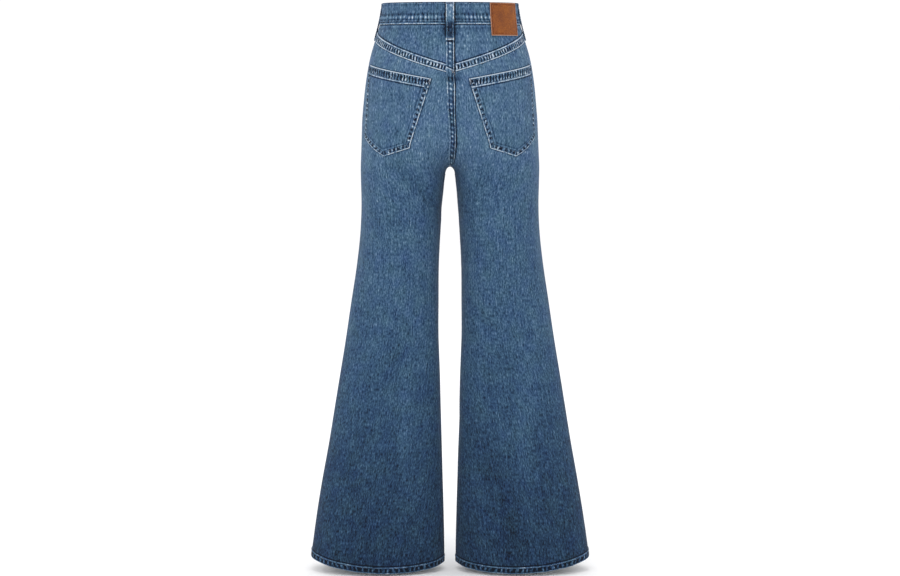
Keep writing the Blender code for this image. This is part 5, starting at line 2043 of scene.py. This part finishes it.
def pocket_rows(side):
    """Two rows round a pocket's edge, and two along its mouth."""
    paths = [inset_path([CORNERS[name] for name in POCKET_PATH], inset) for inset in (0.0022, 0.0070)]
    mouth = blend(CORNERS["inner_top"], CORNERS["outer_top"], np.linspace(0.012, 0.988, 160)[:, None])
    paths += [mouth + DOWN_POCKET * inset for inset in (0.0020, POCKET_BAND - 0.0020)]
    return [row_of_stitches(*on_pocket(side, path, ON_CLOTH)) for path in paths]


def pocket_bars(side):
    """A bar down each end of the mouth."""
    down = DOWN_POCKET * np.array([0.002, 0.0065, 0.011])[:, None]
    bars = []
    for corner, other in (("inner_top", "outer_top"), ("outer_top", "inner_top")):
        spots = CORNERS[corner] + unit(CORNERS[other] - CORNERS[corner]) * 0.0030 + down
        bars.append(bar_through(*on_pocket(side, spots, BAR_ON_CLOTH), *POCKET_BAR))
    return bars


def patch_rows():
    """A row along each side of the patch."""
    left, right = PATCH_INNER + PATCH_BORDER, PATCH_OUTER - PATCH_BORDER
    top, foot = PATCH_TOP - PATCH_BORDER, PATCH_FOOT + PATCH_BORDER
    corners = np.array([(left, top), (right, top), (right, foot), (left, foot), (left, top)])
    paths = [blend(start, end, EVENLY).T for start, end in zip(corners[:-1], corners[1:])]
    return [row_of_stitches(*on_patch(*path, -0.0002), 0.0036, 0.0029) for path in paths]


def fly_rows():
    """Two rows down the fly and round its foot, and one down its front end."""
    turn = np.radians(np.linspace(0, 84, 160))
    straight = np.linspace(FLY_TOP - 0.001, FLY_STRAIGHT, 160)
    rows = []
    for inset in (FELL_INSET, FLY_SEAM - FELL_INSET):
        wide, deep = FLY_WIDE - inset, FLY_CURVE - inset
        x = np.concatenate([np.full_like(straight, wide), wide * np.cos(turn)])
        z = np.concatenate([straight, FLY_STRAIGHT - deep * np.sin(turn)])
        rows.append(row_of_stitches(*on_fly(x, z, ON_CLOTH)))
    down_end = np.linspace(FLY_TOP - 0.001, FLY_FOOT + 0.012, 200)
    return rows + [row_of_stitches(*on_fly(BAND_END + 0.0026, down_end, ON_CLOTH))]


def short_bar(face, x, z, lean, out, length=0.0090):
    """A bar at a place beside a face's centre. lean is its direction across and up."""
    steps = np.array([-0.003, 0.0, 0.003])
    spots = lie_over_centre(face, x + steps * lean[0], z + steps * lean[1], out + BAR_ON_CLOTH)
    return bar_through(*spots, length, 0.0022, 15)


for side, word in SIDES.items():
    stitches["pocket", side] = [
        thread(f"stitches_pocket_{word}", pocket_rows(side), THREAD),
        thread(f"bars_pocket_{word}", pocket_bars(side), THREAD_TAN),
    ]
PATCH_THREAD = thread_finish("patch_thread", (132, 62, 24), (180, 92, 42), (206, 132, 92))
stitches["patch"] = [thread("stitches_patch", patch_rows(), PATCH_THREAD, 0.00032)]
on_fly_front = 2 * GAP + FLY_THICK
fly_bars = [
    short_bar("front", 0.0300, -0.168, (0.80, 0.60), on_fly_front),
    short_bar("front", 0.0020, FLY_FOOT + 0.007, (0.15, 1.0), on_fly_front),
]
stitches["fly"] = [thread("stitches_fly", fly_rows(), THREAD), thread("bars_fly", fly_bars, THREAD_TAN)]
knot = [
    short_bar("back", -0.004, SEAT_KNOT + 0.001, (0.5, 1.0), 0.0021, 0.0070),
    short_bar("back", -0.008, SEAT_KNOT - 0.002, (0.5, 1.0), 0.0021, 0.0070),
]
stitches["yoke", 1].append(thread("knot_at_yoke", knot, THREAD_TAN))
total = sum(len(piece.data.vertices) // STITCH_POINTS for group in stitches.values() for piece in group)
print("stitches in all:", total)

# %% [markdown]
# ## What each piece was cut from
#
# Every cloth piece is listed with the width and length of its cut, what it hangs from, and the thread that goes with
# it, and the share of its cut that it covers is printed. A trouser hangs from its waistband, so most pieces are listed
# as hanging from it, and the waistband as hanging from the yokes.

# %% Cuts
BAND = ["waistband_cloth"]
# Each piece, the width and length of its cut, what it hangs from, and its thread.
CUTS = [(legs["back", side], (0.335, 1.065), BAND, stitches["back", side]) for side in SIDES]
CUTS += [(legs["front", side], (0.285, 1.080), BAND, stitches["front", side]) for side in SIDES]
CUTS += [(yokes[side], (0.205, 0.095), BAND, stitches["yoke", side]) for side in SIDES]
CUTS += [(pockets[side], (0.155, 0.170), [f"back_{SIDES[side]}"], stitches["pocket", side]) for side in SIDES]
CUTS += [(facings[side], (0.125, 0.100), BAND, []) for side in SIDES]
CUTS += [
    (waistband, (0.810, 0.080), ["yoke_left_cloth", "yoke_right_cloth"], stitches["waistband"]),
    (fly, (0.052, 0.160), ["front_left"], stitches["fly"]),
    (zip_closure, (0.028, 0.142), ["front_left", "front_right"], [teeth]),
]
CUTS += [(loop, (0.015, 0.074), BAND, stitches[name]) for name, loop in loops.items()]


def cloth_area(piece):
    """The area of a piece's outer side, in square metres: half of its closed sheet's."""
    return sum(face.area for face in piece.data.polygons) / 2


for piece, flat, held_by, thread_on_it in CUTS:
    share = cloth_area(piece) / (flat[0] * flat[1])
    print(piece.name, "covers", round(share, 2), "of its cut")
    area = None if share > 0.995 else max(share, 0.31) * flat[0] * flat[1]
    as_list(held_by)
    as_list(thread_on_it)
